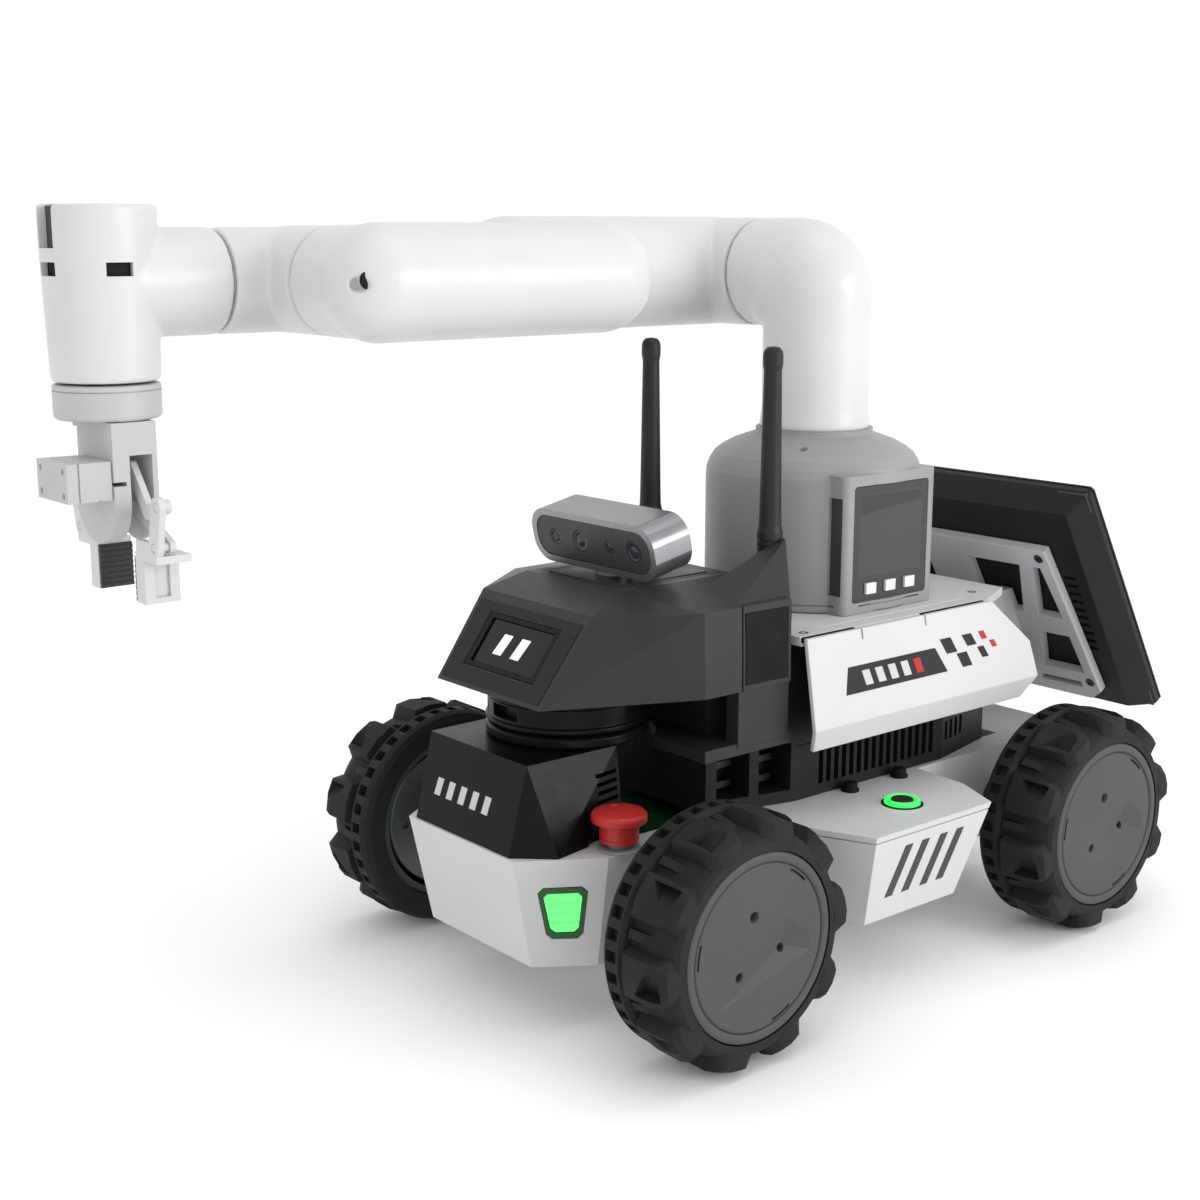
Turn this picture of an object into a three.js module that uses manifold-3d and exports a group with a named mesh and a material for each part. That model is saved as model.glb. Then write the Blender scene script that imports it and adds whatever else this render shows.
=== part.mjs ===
// Four-wheeled rover with a six-axis arm and a two-finger gripper on its deck.
// Millimetres, +Z up, +X forward, +Y to the left. The origin is on the floor
// under the centre of the whole machine.
import * as THREE from "three";
import { mergeVertices } from "three/addons/utils/BufferGeometryUtils.js";
import { ConvexGeometry } from "three/addons/geometries/ConvexGeometry.js";
import Module from "manifold-3d";

// ---- driving dimensions -------------------------------------------------
const SHIFT_X = -45;        // moves the wheelbase centre so the whole machine is centred
const WHEEL_X = 100;          // half the wheelbase
const WHEEL_Z = 50.5;         // axle height in the drawing frame, which is then lowered onto the floor
const WHEEL_R = 46;           // tyre radius over the lugs
const WHEEL_OUT = 106.3;      // outer face of a wheel, from the centre plane
const WHEEL_IN = 74;          // inner face of a wheel
const CAP_R = 34;             // hub cap radius
const TRAY_TOP = 72.5;        // top of the chassis tray
const TRAY_BOTTOM = 30;       // underside of the chassis tray
const DECK_TOP = 140.4;       // top of the white deck
const DOOR_LOW = 97.2;        // lower edge of the side doors
const CREASE_Y = 58.5;        // hinge line of the side doors
const LIDAR_X = 99;           // turning axis of the laser scanner
const ARM_X = -32;            // turning axis of the arm base
const ARM_Z = 272.3;          // height of the straight arm
const UPPER = 110.4;          // shoulder axis to elbow axis
const FORE = 96;              // elbow axis to first wrist axis
const WRIST = 72.6;           // first wrist axis to the wrist head
const Y_SEAM = -32;           // plane where the side-by-side links meet
const Y_OUT = -62;            // centre plane of the outer links
const Y_IN = -7;              // centre plane of the inner link
const GRIP_Y = -62.5;          // centre plane of the gripper
const SIDES = 20;            // facets round an arm tube
const BUTTON_STEP = 11.5;     // spacing of the three keys under the arm screen
const GAP = 0.3;              // clearance between neighbouring pieces

// ---- solids ---------------------------------------------------------------
const wasm = await Module();
wasm.setup();

const solid = (geometry) => {
  let g = geometry.clone();
  g.deleteAttribute("normal");
  g.deleteAttribute("uv");
  g = mergeVertices(g, 1e-4);
  const v = g.attributes.position.array;
  const src = g.index.array;
  const t = [];
  for (let i = 0; i < src.length; i += 3) {
    if (src[i] !== src[i + 1] && src[i + 1] !== src[i + 2] && src[i] !== src[i + 2]) t.push(src[i], src[i + 1], src[i + 2]);
  }
  let volume = 0;
  for (let i = 0; i < t.length; i += 3) {
    const [a, b, c] = [t[i] * 3, t[i + 1] * 3, t[i + 2] * 3];
    volume += v[a] * (v[b + 1] * v[c + 2] - v[b + 2] * v[c + 1]) - v[a + 1] * (v[b] * v[c + 2] - v[b + 2] * v[c]) + v[a + 2] * (v[b] * v[c + 1] - v[b + 1] * v[c]);
  }
  if (volume < 0) for (let i = 0; i < t.length; i += 3) [t[i + 1], t[i + 2]] = [t[i + 2], t[i + 1]];
  return new wasm.Manifold(new wasm.Mesh({ numProp: 3, vertProperties: new Float32Array(v), triVerts: new Uint32Array(t) }));
};

const geometryOf = (manifold) => {
  const k = manifold.getMesh();
  const g = new THREE.BufferGeometry();
  g.setAttribute("position", new THREE.BufferAttribute(new Float32Array(k.vertProperties), 3));
  g.setIndex(new THREE.BufferAttribute(new Uint32Array(k.triVerts), 1));
  g.computeVertexNormals();
  return g;
};

const join = (...list) => list.reduce((a, b) => a.add(b));
const cut = (base, ...tools) => tools.reduce((a, b) => a.subtract(b), base);

const box = (x0, x1, y0, y1, z0, z1) =>
  solid(new THREE.BoxGeometry(x1 - x0, y1 - y0, z1 - z0).translate((x0 + x1) / 2, (y0 + y1) / 2, (z0 + z1) / 2));

// a box given on the left side, mirrored to the other side when s is -1
const sideBox = (s, x0, x1, y0, y1, z0, z1) => (s > 0 ? box(x0, x1, y0, y1, z0, z1) : box(x0, x1, -y1, -y0, z0, z1));

const AXES = {
  x: new THREE.Matrix4().makeBasis(new THREE.Vector3(0, 1, 0), new THREE.Vector3(0, 0, 1), new THREE.Vector3(1, 0, 0)),
  y: new THREE.Matrix4().makeBasis(new THREE.Vector3(0, 0, 1), new THREE.Vector3(1, 0, 0), new THREE.Vector3(0, 1, 0)),
  z: new THREE.Matrix4(),
};

// outline: [y, z] pairs for axis x, [z, x] pairs for axis y, [x, y] pairs for axis z
const prism = (axis, outline, a0, a1) => {
  const shape = new THREE.Shape(outline.map(([a, b]) => new THREE.Vector2(a, b)));
  const g = new THREE.ExtrudeGeometry(shape, { depth: a1 - a0, bevelEnabled: false });
  return solid(g.translate(0, 0, a0).applyMatrix4(AXES[axis]));
};
const prismXZ = (outline, y0, y1) => prism("y", outline.map(([x, z]) => [z, x]), y0, y1);

const roundRect = (cx, cy, w, h, r, n = 4) => {
  const out = [];
  for (const [sx, sy, start] of [[1, 1, 0], [-1, 1, 90], [-1, -1, 180], [1, -1, 270]]) {
    for (let i = 0; i <= n; i++) {
      const a = THREE.MathUtils.degToRad(start + (90 * i) / n);
      out.push([cx + sx * (w / 2 - r) + r * Math.cos(a), cy + sy * (h / 2 - r) + r * Math.sin(a)]);
    }
  }
  return out;
};

// cylinder (or cone) along an axis; p and q are the other two coordinates in X, Y, Z order
const rod = (axis, p, q, r, a0, a1, n = 20, r2 = r) => {
  const g = new THREE.CylinderGeometry(r2, r, a1 - a0, n);
  g.translate(0, (a0 + a1) / 2, 0);
  if (axis === "x") g.rotateZ(-Math.PI / 2).translate(0, p, q);
  else if (axis === "y") g.translate(p, 0, q);
  else g.rotateX(Math.PI / 2).translate(p, q, 0);
  return solid(g);
};

// revolved profile of [radius, height] pairs; one that stays off the axis is closed on itself
const turned = (axis, p, q, profile, n = 24) => {
  const loop = profile[0][0] > 0 ? [...profile, profile[0]] : profile;
  const g = new THREE.LatheGeometry(loop.map(([r, h]) => new THREE.Vector2(r, h)), n);
  if (axis === "x") g.rotateZ(-Math.PI / 2).translate(0, p, q);
  else if (axis === "y") g.translate(p, 0, q);
  else g.rotateX(Math.PI / 2).translate(p, q, 0);
  return solid(g);
};

const ball = (x, y, z, r, n = 16) => solid(new THREE.SphereGeometry(r, n, n / 2).translate(x, y, z));
const hull = (points) => solid(new ConvexGeometry(points.map(([x, y, z]) => new THREE.Vector3(x, y, z))));
const both = (points) => points.flatMap(([x, y, z]) => [[x, y, z], [x, -y, z]]);
const flipY = (points, s) => points.map(([x, y, z]) => [x, s * y, z]);

// a round bar of radius r turned through a quarter bend of radius q, from upright to sideways
const bend = (x, y, z, q, r, steps = 5, n = 20) => {
  const disc = (k) => Array.from({ length: n }, (_, i) => {
    const a = (i / n) * Math.PI * 2, t = (k / steps) * Math.PI / 2, d = q + r * Math.sin(a);
    return [x + r * Math.cos(a), y + d * Math.cos(t), z + d * Math.sin(t)];
  });
  return join(...Array.from({ length: steps }, (_, k) => hull([...disc(k), ...disc(k + 1)])));
};

// ---- scene graph ------------------------------------------------------------
const group = new THREE.Group();
const rover = new THREE.Group();
rover.position.set(SHIFT_X, 0, WHEEL_R - WHEEL_Z);
group.add(rover);
const arm = new THREE.Group();
rover.add(arm);

const LOOK = {
  white: [0xe9e9e9, 0.35, 0], shell: [0xf4f4f4, 0.3, 0], charcoal: [0x333334, 0.4, 0], gloss: [0x1c1c1d, 0.15, 0],
  rubber: [0x2f2f30, 0.75, 0], cap: [0x4c4c4d, 0.5, 0], motor: [0x6a6b6e, 0.35, 0.8], red: [0xc4262b, 0.3, 0],
  green: [0x2fe64a, 0.3, 0], silver: [0xb9babc, 0.3, 0.9], glass: [0x0b0b0c, 0.05, 0], grey: [0xb4b5b7, 0.45, 0],
  dark: [0x3b3b3c, 0.55, 0], antenna: [0x1a1a1b, 0.5, 0], board: [0x1f5a34, 0.6, 0], button: [0xf2f2f2, 0.4, 0],
  pad: [0x555557, 0.8, 0], cell: [0x23252b, 0.5, 0], lamp: [0xf5f5f5, 0.3, 0],
};
const put = (parent, name, manifold, look) => {
  const [color, roughness, metalness] = LOOK[look];
  const mesh = new THREE.Mesh(geometryOf(manifold), new THREE.MeshStandardMaterial({ color, roughness, metalness }));
  mesh.name = name;
  parent.add(mesh);
};

// ---- chassis tray: tub with a chamfered nose and tail and a pod on each side --
const TUB = [...both([[150, 32.5, TRAY_TOP], [121.4, 51, TRAY_TOP], [-121.4, 51, TRAY_TOP], [-150, 32.5, TRAY_TOP]]),
  ...both([[141, 31, TRAY_BOTTOM], [121.4, 45, TRAY_BOTTOM], [-121.4, 45, TRAY_BOTTOM], [-141, 31, TRAY_BOTTOM]])];
const POD = [[45, 44, TRAY_TOP], [43, 76, TRAY_TOP], [33, 98, TRAY_TOP], [-33, 98, TRAY_TOP], [-43, 76, TRAY_TOP], [-45, 44, TRAY_TOP],
  [38, 44, 32], [30, 70, 32.5], [26, 87, 33.5], [-26, 87, 33.5], [-30, 70, 32.5], [-38, 44, 32]];

// the corner lamp sits in a pocket in each front chamfer
const mix = (a, b, t) => a.map((v, i) => v + (b[i] - v) * t);
const lampCorner = (s, t, out) => {
  const p = mix(mix([150, 32.5, TRAY_TOP], [121.4, 51, TRAY_TOP], s), mix([141, 31, TRAY_BOTTOM], [121.4, 45, TRAY_BOTTOM], s), t);
  const n = [0.53, 0.84, -0.12];
  return p.map((v, i) => v + n[i] * out);
};
const lampBlock = (s0, s1, t0, t1, o0, o1) => [o0, o1].flatMap((o) => [lampCorner(s0, t0, o), lampCorner(s1, t0, o), lampCorner(s1 - 0.04, t1, o), lampCorner(s0 + 0.06, t1, o)]);

let tray = join(hull(TUB), hull(POD), hull(flipY(POD, -1)));
tray = cut(tray, box(-112, 112, -39, 39, TRAY_BOTTOM + 3, TRAY_TOP + 5));
for (const s of [1, -1]) {
  tray = cut(tray, hull(flipY(lampBlock(0.22, 0.8, 0.25, 0.735, -2.6, 2), s)));
  for (const x of [WHEEL_X, -WHEEL_X]) {
    tray = cut(tray, s > 0 ? rod("y", x, WHEEL_Z, 7, 36, 60, 12) : rod("y", x, WHEEL_Z, 7, -60, -36, 12));
  }
}
put(rover, "chassis_tray", tray, "white");
for (const [name, s] of [["light_left", 1], ["light_right", -1]]) {
  put(rover, name, hull(flipY(lampBlock(0.25, 0.77, 0.275, 0.71, -2.2, 0.5), s)), "green");
}

// battery pack and main board inside the tray
put(rover, "battery", prism("x", roundRect(0, 48, 66, 26, 4, 3), -104, 2), "cell");
put(rover, "main_board", join(box(14, 106, -34, 34, 54, 55.6), ...[[18, -31], [18, 31], [102, -31], [102, 31]].map(([x, y]) => rod("z", x, y, 2.5, TRAY_BOTTOM + 3.1, 54.2, 10)),
  box(40, 72, -16, 16, 55.4, 64), box(80, 100, -26, -8, 55.4, 60)), "board");

// ---- front cowl ---------------------------------------------------------------
let cowl = hull(both([[149, 29, TRAY_TOP + 0.2], [136, 41, TRAY_TOP + 0.2], [100, 34, TRAY_TOP + 0.2], [141, 29.5, 105], [100, 30, 105]]));
cowl = cut(cowl, box(96, 136, -25, 25, TRAY_TOP - 1, 101), rod("z", 112, 45.6, 11, 70, 95, 20), rod("z", 112, -45.6, 11, 70, 95, 20));
for (const s of [1, -1]) for (const z of [80, 85, 90, 95]) cowl = cut(cowl, sideBox(s, 102, 112, 26, 46, z, z + 2));
put(rover, "front_cowl", cowl, "gloss");

// ---- laser scanner: fixed base and turning head -------------------------------
put(rover, "lidar_base", join(rod("z", LIDAR_X, 0, 31, 105.2, 109.5, 28), rod("z", LIDAR_X, 0, 7.9, 109.3, 114, 16)), "gloss");
put(rover, "lidar_rotor", cut(turned("z", LIDAR_X, 0, [[0, 109.8], [30, 109.8], [31, 111], [31, 121.5], [29.5, 123.6], [0, 123.6]], 28), rod("z", LIDAR_X, 0, 8.15, 109, 114.4, 16)), "gloss");

// ---- core body under the deck ---------------------------------------------------
const CORE = [[64, 39.5], [25, 49], [-62, 49], [-100, 40]];
let core = hull(both(CORE.flatMap(([x, y]) => [[x, y, TRAY_TOP + 0.2], [x, y, 136.2]])));
core = cut(core, box(-90, 20, -41, 41, TRAY_TOP - 1, 132));
for (const s of [1, -1]) {
  core = cut(core, sideBox(s, 45, 60, 30, 60, 77, 97), sideBox(s, 27, 42, 34, 60, 77, 97));
  for (let i = 0; i < 11; i++) core = cut(core, sideBox(s, 12 - i * 6.4 - 3, 12 - i * 6.4, 46, 60, 77, 91));
}
put(rover, "core_body", core, "dark");

// ---- head -----------------------------------------------------------------------
const HEAD = both([[137, 31, 124.5], [81, 57, 124.5], [38, 57.5, 124.5], [113.6, 33, 155.7], [97, 27, 161.5], [81, 56, 156], [38, 57, 156], [40, 27, 161.5]]);
const head0 = hull(HEAD);
let head = head0;
for (const s of [1, -1]) {
  head = join(head,
    hull(flipY([[68, 55.5, 154], [68, 36, 158], [38, 57, 152], [27, 30, 152], [27, 30, 158], [25.5, 41, 175], [25.5, 38.5, 175], [29, 43, 172]], s)),
    sideBox(s, 38, 64, 50, 56.5, 103, 125), box(36, 80, Math.min(0, s * 56), Math.max(0, s * 56), 100, 104.6));
}
const wide = (d) => hull(both(CORE.flatMap(([x, y]) => [[x + Math.sign(x) * d, y + d, 90], [x + Math.sign(x) * d, y + d, 136.6]])));
head = cut(head, rod("z", LIDAR_X, 0, 33.5, 90, 124.4, 24), wide(0.5));
for (const s of [1, -1]) head = cut(head, rod("z", 27.5, s * 34.5, 5.5, 158.5, 180, 12));
// the face: a shallow recess for the eye screen
const FACE_N = [0.8, 0, 0.6];
const facePoint = (y, t, o) => { const p = mix([137, 0, 124.5], [113.6, 0, 155.7], t); return [p[0] + FACE_N[0] * o, y, p[2] + FACE_N[2] * o]; };
const faceBlock = (w, t0, t1, o0, o1) => hull([o0, o1].flatMap((o) => [facePoint(-w, t0, o), facePoint(w, t0, o), facePoint(w, t1, o), facePoint(-w, t1, o)]));
head = cut(head, faceBlock(21, 0.22, 0.8, -1.8, 4));
put(rover, "head_shell", head, "charcoal");
put(rover, "eye_screen", faceBlock(20.7, 0.23, 0.79, -1.5, -0.4), "glass");

// ---- depth camera on the head -----------------------------------------------------
const tilt = (m) => solid(geometryOf(m).rotateY(THREE.MathUtils.degToRad(12)).translate(77, -1.5, 175.8));
const cameraShape = prism("x", roundRect(0, 0, 72, 21.5, 9, 4), -9, 9);
put(rover, "camera_body", join(tilt(cut(cameraShape, prism("x", roundRect(0, 0, 66.4, 16.4, 7, 4), 7.6, 12))), rod("z", 76, 0, 7, 161.9, 170, 12)), "silver");
put(rover, "camera_front", tilt(prism("x", roundRect(0, 0, 66, 16, 6.8, 4), 7.8, 8.8)), "glass");

// ---- antennas ------------------------------------------------------------------------
for (const [name, s] of [["antenna_left", 1], ["antenna_right", -1]]) {
  put(rover, name, turned("z", 27.5, s * 34.5, [[0, 158.8], [5, 158.8], [5, 178], [4.5, 180], [3.4, 238], [4.1, 240], [4.1, 245], [2.6, 247], [0, 247.2]], 12), "antenna");
}

// ---- deck and side doors ---------------------------------------------------------------
put(rover, "top_deck", cut(prism("z", [[33, -58], [33, 58], [-76, 58], [-102, 46], [-102, -46], [-76, -58]], 136.9, DECK_TOP), box(22, 36, -29, 29, 130, 145)), "white");
for (const [name, s] of [["door_left", 1], ["door_right", -1]]) {
  // upper panel leans out from the hinge line, lower lip folds back in
  const lean = (z) => 58.7 + ((DECK_TOP - z) / (DECK_TOP - 106)) * 6.6;
  const sheet = (rim) => hull(flipY(rim.flatMap(([x, y, z]) => [[x, y, z], [x, y + 2, z]]), s));
  const upper = sheet([[33, lean(DECK_TOP - 0.2), DECK_TOP - 0.2], [-76, lean(DECK_TOP - 0.2), DECK_TOP - 0.2], [-98, lean(121), 121], [-101, lean(106), 106], [34, lean(106), 106]]);
  const lip = sheet([[34, lean(106), 106], [-101, lean(106), 106], [-93, 62.4, DOOR_LOW], [32, 62.4, DOOR_LOW]]);
  put(rover, name, join(upper, lip), "white");
}

// ---- rear screen on its bracket -----------------------------------------------------------
// u runs down the tilted face, v out of it towards the back
const SC_TOP = [-119, 185.5];
const SC_DIR = [-0.5151, -0.8571];
const SC_OUT = [-0.8571, 0.5151];
const sc = (u, v) => [SC_TOP[0] + SC_DIR[0] * u + SC_OUT[0] * v, SC_TOP[1] + SC_DIR[1] * u + SC_OUT[1] * v];
const slope = (u0, u1, v0, v1, y0, y1) => prismXZ([sc(u0, v0), sc(u1, v0), sc(u1, v1), sc(u0, v1)], y0, y1);
const scp = (u, v, y) => { const [x, z] = sc(u, v); return [x, y, z]; };
let screen = hull(both([scp(0, 0, 77), scp(118.4, 0, 77), scp(0, -4, 77), scp(118.4, -4, 77), scp(6, -14, 70), scp(112.4, -14, 70)]));
screen = cut(screen, slope(4, 114.4, -2, 4, -72, 72));
put(rover, "screen_housing", screen, "dark");
put(rover, "screen_glass", slope(4.3, 114.1, -1.7, -0.4, -71.7, 71.7), "glass");
const uvPrism = (outline, v0, v1) => {
  const g = new THREE.ExtrudeGeometry(new THREE.Shape(outline.map(([y, u]) => new THREE.Vector2(y, u))), { depth: v1 - v0, bevelEnabled: false });
  g.translate(0, 0, v0);
  const at = new THREE.Matrix4().makeBasis(new THREE.Vector3(0, 1, 0), new THREE.Vector3(SC_DIR[0], 0, SC_DIR[1]), new THREE.Vector3(SC_OUT[0], 0, SC_OUT[1]));
  at.setPosition(SC_TOP[0], 0, SC_TOP[1]);
  return solid(g.applyMatrix4(at));
};
let bracket = uvPrism([[-56, 24], [56, 24], [61, 103], [55, 108], [-55, 108], [-61, 103]], -18.5, -14.3);
for (const s of [1, -1]) {
  bracket = cut(bracket, uvPrism([[s * 12, 34], [s * 40, 34], [s * 33, 62], [s * 12, 62]], -20, -13),
    uvPrism([[s * 47, 34], [s * 51, 34], [s * 54, 62], [s * 41, 62]], -20, -13),
    uvPrism([[s * 39, 72], [s * 54, 72], [s * 55.5, 93], [s * 34, 93]], -20, -13),
    uvPrism([[s * 30, 99], [s * 52, 99], [s * 52, 102], [s * 30, 102]], -20, -13));
  bracket = join(bracket, s > 0 ? prismXZ([sc(52, -15), sc(76, -15), sc(76, -19), [-101, 112], [-101, 132], sc(52, -19)], 22, 28)
    : prismXZ([sc(52, -15), sc(76, -15), sc(76, -19), [-101, 112], [-101, 132], sc(52, -19)], -28, -22));
}
bracket = join(bracket, box(-103.5, -100.3, -32, 32, 108, 135.5));
put(rover, "screen_bracket", bracket, "grey");

// ---- emergency stop and power button ------------------------------------------------------
put(rover, "estop_base", join(rod("z", 112, 45.6, 8, TRAY_TOP + 0.2, 73.4, 20), rod("z", 112, 45.6, 4, 73.2, 79, 12)), "grey");
put(rover, "estop_button", cut(turned("z", 112, 45.6, [[0, 75.6], [7.2, 75.6], [7.2, 82.8], [9.6, 82.8], [10.2, 83.4], [10.2, 85.4], [9.2, 86.6], [5, 87.4], [0, 87.6]], 20), rod("z", 112, 45.6, 4.3, 75, 81.5, 12)), "red");
put(rover, "power_ring", turned("z", -5, 77, [[4.8, TRAY_TOP + 0.2], [7, TRAY_TOP + 0.2], [7, 73.8], [6, 74.6], [4.8, 74]], 20), "green");
put(rover, "power_button", rod("z", -5, 77, 4.4, 73.5, 74.6, 16), "charcoal");

// ---- wheels ------------------------------------------------------------------------------------
const LUGS = 10;
const wheel = (tag, x, s) => {
  const span = (a, b) => (s > 0 ? [a, b] : [-b, -a]);
  const lathe = (profile, n) => turned("y", x, WHEEL_Z, profile.map(([r, y]) => [r, s * y]), n);
  let tyre = lathe([[CAP_R + GAP, WHEEL_IN], [41.5, WHEEL_IN], [45, WHEEL_IN + 2], [WHEEL_R, WHEEL_IN + 6], [WHEEL_R, WHEEL_OUT - 9], [45, WHEEL_OUT - 3], [43, WHEEL_OUT], [CAP_R + GAP, WHEEL_OUT]], 28);
  for (let i = 0; i < LUGS; i++) {
    const [a0, a1] = span(WHEEL_OUT - 10, WHEEL_OUT + 2);
    const notch = solid(new THREE.BoxGeometry(6, a1 - a0, 10).translate(0, (a0 + a1) / 2, 48.2).rotateY(((i + 0.5) / LUGS) * Math.PI * 2).translate(x, 0, WHEEL_Z));
    tyre = cut(tyre, notch);
  }
  put(rover, `tyre_${tag}`, tyre, "rubber");
  // cup-shaped cap: barrel under the tyre, disc on the outside, a boss with the axle bore
  let cap = lathe([[0, WHEEL_OUT - 6], [31.2, WHEEL_OUT - 6], [31.2, WHEEL_IN + 2], [CAP_R, WHEEL_IN + 2], [CAP_R, WHEEL_OUT - 1], [CAP_R - 1, WHEEL_OUT - 0.3], [0, WHEEL_OUT - 0.3]], 28);
  cap = cut(cap, rod("y", x, WHEEL_Z, 4.15, ...span(WHEEL_OUT - 8, WHEEL_OUT - 3), 12));
  for (let i = 0; i < 3; i++) {
    const a = (i / 3) * Math.PI * 2 + 0.5;
    cap = cut(cap, rod("y", x + 13 * Math.cos(a), WHEEL_Z + 13 * Math.sin(a), 1.7, ...span(WHEEL_OUT - 2, WHEEL_OUT + 2), 8));
  }
  put(rover, `hub_cap_${tag}`, cap, "cap");
  put(rover, `hub_motor_${tag}`, join(rod("y", x, WHEEL_Z, 29.5, ...span(WHEEL_IN + 4, WHEEL_OUT - 8), 24), rod("y", x, WHEEL_Z, 6.5, ...span(36.5, WHEEL_IN + 5), 12),
    rod("y", x, WHEEL_Z, 4, ...span(WHEEL_OUT - 9, WHEEL_OUT - 3.6), 12)), "motor");
};
wheel("fl", WHEEL_X, 1);
wheel("fr", WHEEL_X, -1);
wheel("rl", -WHEEL_X, 1);
wheel("rr", -WHEEL_X, -1);

// ---- arm base -------------------------------------------------------------------------------------
const BASE_Z = DECK_TOP + 0.2;
let base = turned("z", ARM_X, 0, [[0, BASE_Z], [44.5, BASE_Z], [44.5, 190], [43, 197], [38, 202.5], [29, 206.5], [24.5, 208], [24, 210.2], [0, 210.2]], 30);
base = join(base, prism("z", roundRect(ARM_X, 21, 54, 44.8, 3, 3), BASE_Z, 195.7));
base = cut(base, box(ARM_X - 24, ARM_X + 24, -24, 24, BASE_Z - 1, 192), rod("z", ARM_X, 0, 12.3, 190, 215, 16));
base = cut(base, box(ARM_X - 22, ARM_X + 22, 42.2, 46, 145, 191.5), box(ARM_X + 25, ARM_X + 29, 35, 41, 148, 187));
put(arm, "arm_base_housing", base, "grey");
let panel = box(ARM_X - 21.7, ARM_X + 21.7, 42.4, 43.2, 145.3, 191.2);
for (const [name, i] of [["arm_button_a", 1], ["arm_button_b", 0], ["arm_button_c", -1]]) {
  const x = ARM_X + i * BUTTON_STEP;
  panel = cut(panel, box(x - 3.2, x + 3.2, 40, 46, 147.7, 152.7));
  put(arm, name, box(x - 2.9, x + 2.9, 42.9, 44.2, 148, 152.4), "button");
}
put(arm, "arm_base_screen", panel, "glass");
put(arm, "j1_servo", join(box(ARM_X - 20, ARM_X + 20, -20, 20, BASE_Z, 184), rod("z", ARM_X, 0, 14, 183.8, 189, 28)), "motor");

// ---- arm links ---------------------------------------------------------------------------------------
const X2 = ARM_X, X3 = ARM_X + UPPER, X4 = X3 + FORE, X6 = X4 + WRIST;
// link 1: column, quarter bend to the side, bored for the shoulder spigot
const B1 = 9;
let link1 = join(
  rod("z", X2, 0, 12, 196, 211, 16),
  turned("z", X2, 0, [[0, 210.6], [22.6, 210.6], [22.4, 214], [21.8, 217], [21.8, ARM_Z - B1 + 0.05], [0, ARM_Z - B1 + 0.05]], SIDES),
  bend(X2, -B1, ARM_Z - B1, B1, 21.8),
  rod("y", X2, ARM_Z, 22.3, Y_SEAM + 0.2, -B1 + 0.1, SIDES));
link1 = cut(link1, rod("y", X2, ARM_Z, 8.25, Y_SEAM - 1, Y_SEAM + 7, 16), rod("z", X2 + 1, 5.5, 1.6, 286, 297, 10));
put(arm, "link1_elbow", link1, "shell");
// link 2: outer tube with a boss at each end
const R2 = 22.6;
let link2 = join(rod("x", Y_OUT, ARM_Z, R2, X2, X3, SIDES), ball(X2, Y_OUT, ARM_Z, R2 + 0.1, SIDES), ball(X3, Y_OUT, ARM_Z, R2 + 0.1, SIDES),
  rod("y", X2, ARM_Z, 22.3, Y_OUT, Y_SEAM - 0.2, SIDES), rod("y", X3, ARM_Z, 20.6, Y_OUT, Y_SEAM - 0.2, SIDES),
  rod("y", X2, ARM_Z, 8, Y_SEAM - 1, Y_SEAM + 6, 16));
link2 = cut(link2, rod("y", X3, ARM_Z, 8.25, Y_SEAM - 7, Y_SEAM + 1, 16));
put(arm, "link2_arm", link2, "shell");
// link 3: inner tube with a boss at each end
const R3 = 20;
let link3 = join(rod("x", Y_IN, ARM_Z, R3, X3, X4, SIDES), ball(X3, Y_IN, ARM_Z, R3 + 0.1, SIDES), ball(X4, Y_IN, ARM_Z, R3 + 0.1, SIDES),
  rod("y", X3, ARM_Z, 20.4, Y_SEAM + 0.2, Y_IN - 2, SIDES), rod("y", X4, ARM_Z, 19.2, Y_SEAM - 1.2, Y_IN, SIDES),
  rod("y", X3, ARM_Z, 8, Y_SEAM - 6, Y_SEAM + 1, 16));
link3 = cut(link3, rod("y", X4, ARM_Z, 8.25, Y_SEAM - 3, Y_SEAM + 6, 16), rod("y", X4 + 15, ARM_Z, 1.6, 4, 14, 10));
put(arm, "link3_arm", link3, "shell");
// link 4: short corner piece
let link4 = join(rod("y", X4, ARM_Z, 19, Y_OUT - 2, Y_SEAM - 1.6, SIDES), ball(X4, Y_OUT - 2, ARM_Z, 18.9, SIDES), rod("x", Y_OUT - 2, ARM_Z, 18.4, X4, 206, SIDES),
  rod("y", X4, ARM_Z, 8, Y_SEAM - 2, Y_SEAM + 5, 16));
link4 = cut(link4, rod("x", Y_OUT - 2, ARM_Z, 8.25, 198, 207, 16));
put(arm, "link4_wrist", link4, "shell");
// link 5: wrist head, a tapered upright drum on a side collar
let link5 = join(rod("x", Y_OUT - 2, ARM_Z, 18.4, 206.4, X6, SIDES), rod("x", Y_OUT - 2, ARM_Z, 8, 199, 207, 16),
  turned("z", X6, Y_OUT - 2, [[0, 239.7], [18, 239.7], [19.3, 285], [19.3, 298.3], [0, 298.3]], SIDES));
link5 = cut(link5, rod("z", X6, Y_OUT - 2, 8.25, 238, 246, 16), box(X6 + 12, X6 + 24, Y_OUT - 6, Y_OUT + 4, 275, 279.5), box(X6 - 3, X6 + 6, Y_OUT + 12, Y_OUT + 24, 275, 279.5),
  box(X6 + 13.5, X6 + 24, Y_OUT - 6, Y_OUT + 4, 284, 299));
put(arm, "link5_wrist_head", link5, "shell");
// link 6: grey flange
put(arm, "link6_flange", join(turned("z", X6, Y_OUT - 2, [[0, 227.5], [17.2, 227.5], [18, 228.5], [18, 239.3], [0, 239.3]], 40), rod("z", X6, Y_OUT - 2, 8, 239, 245, 16)), "grey");

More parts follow.
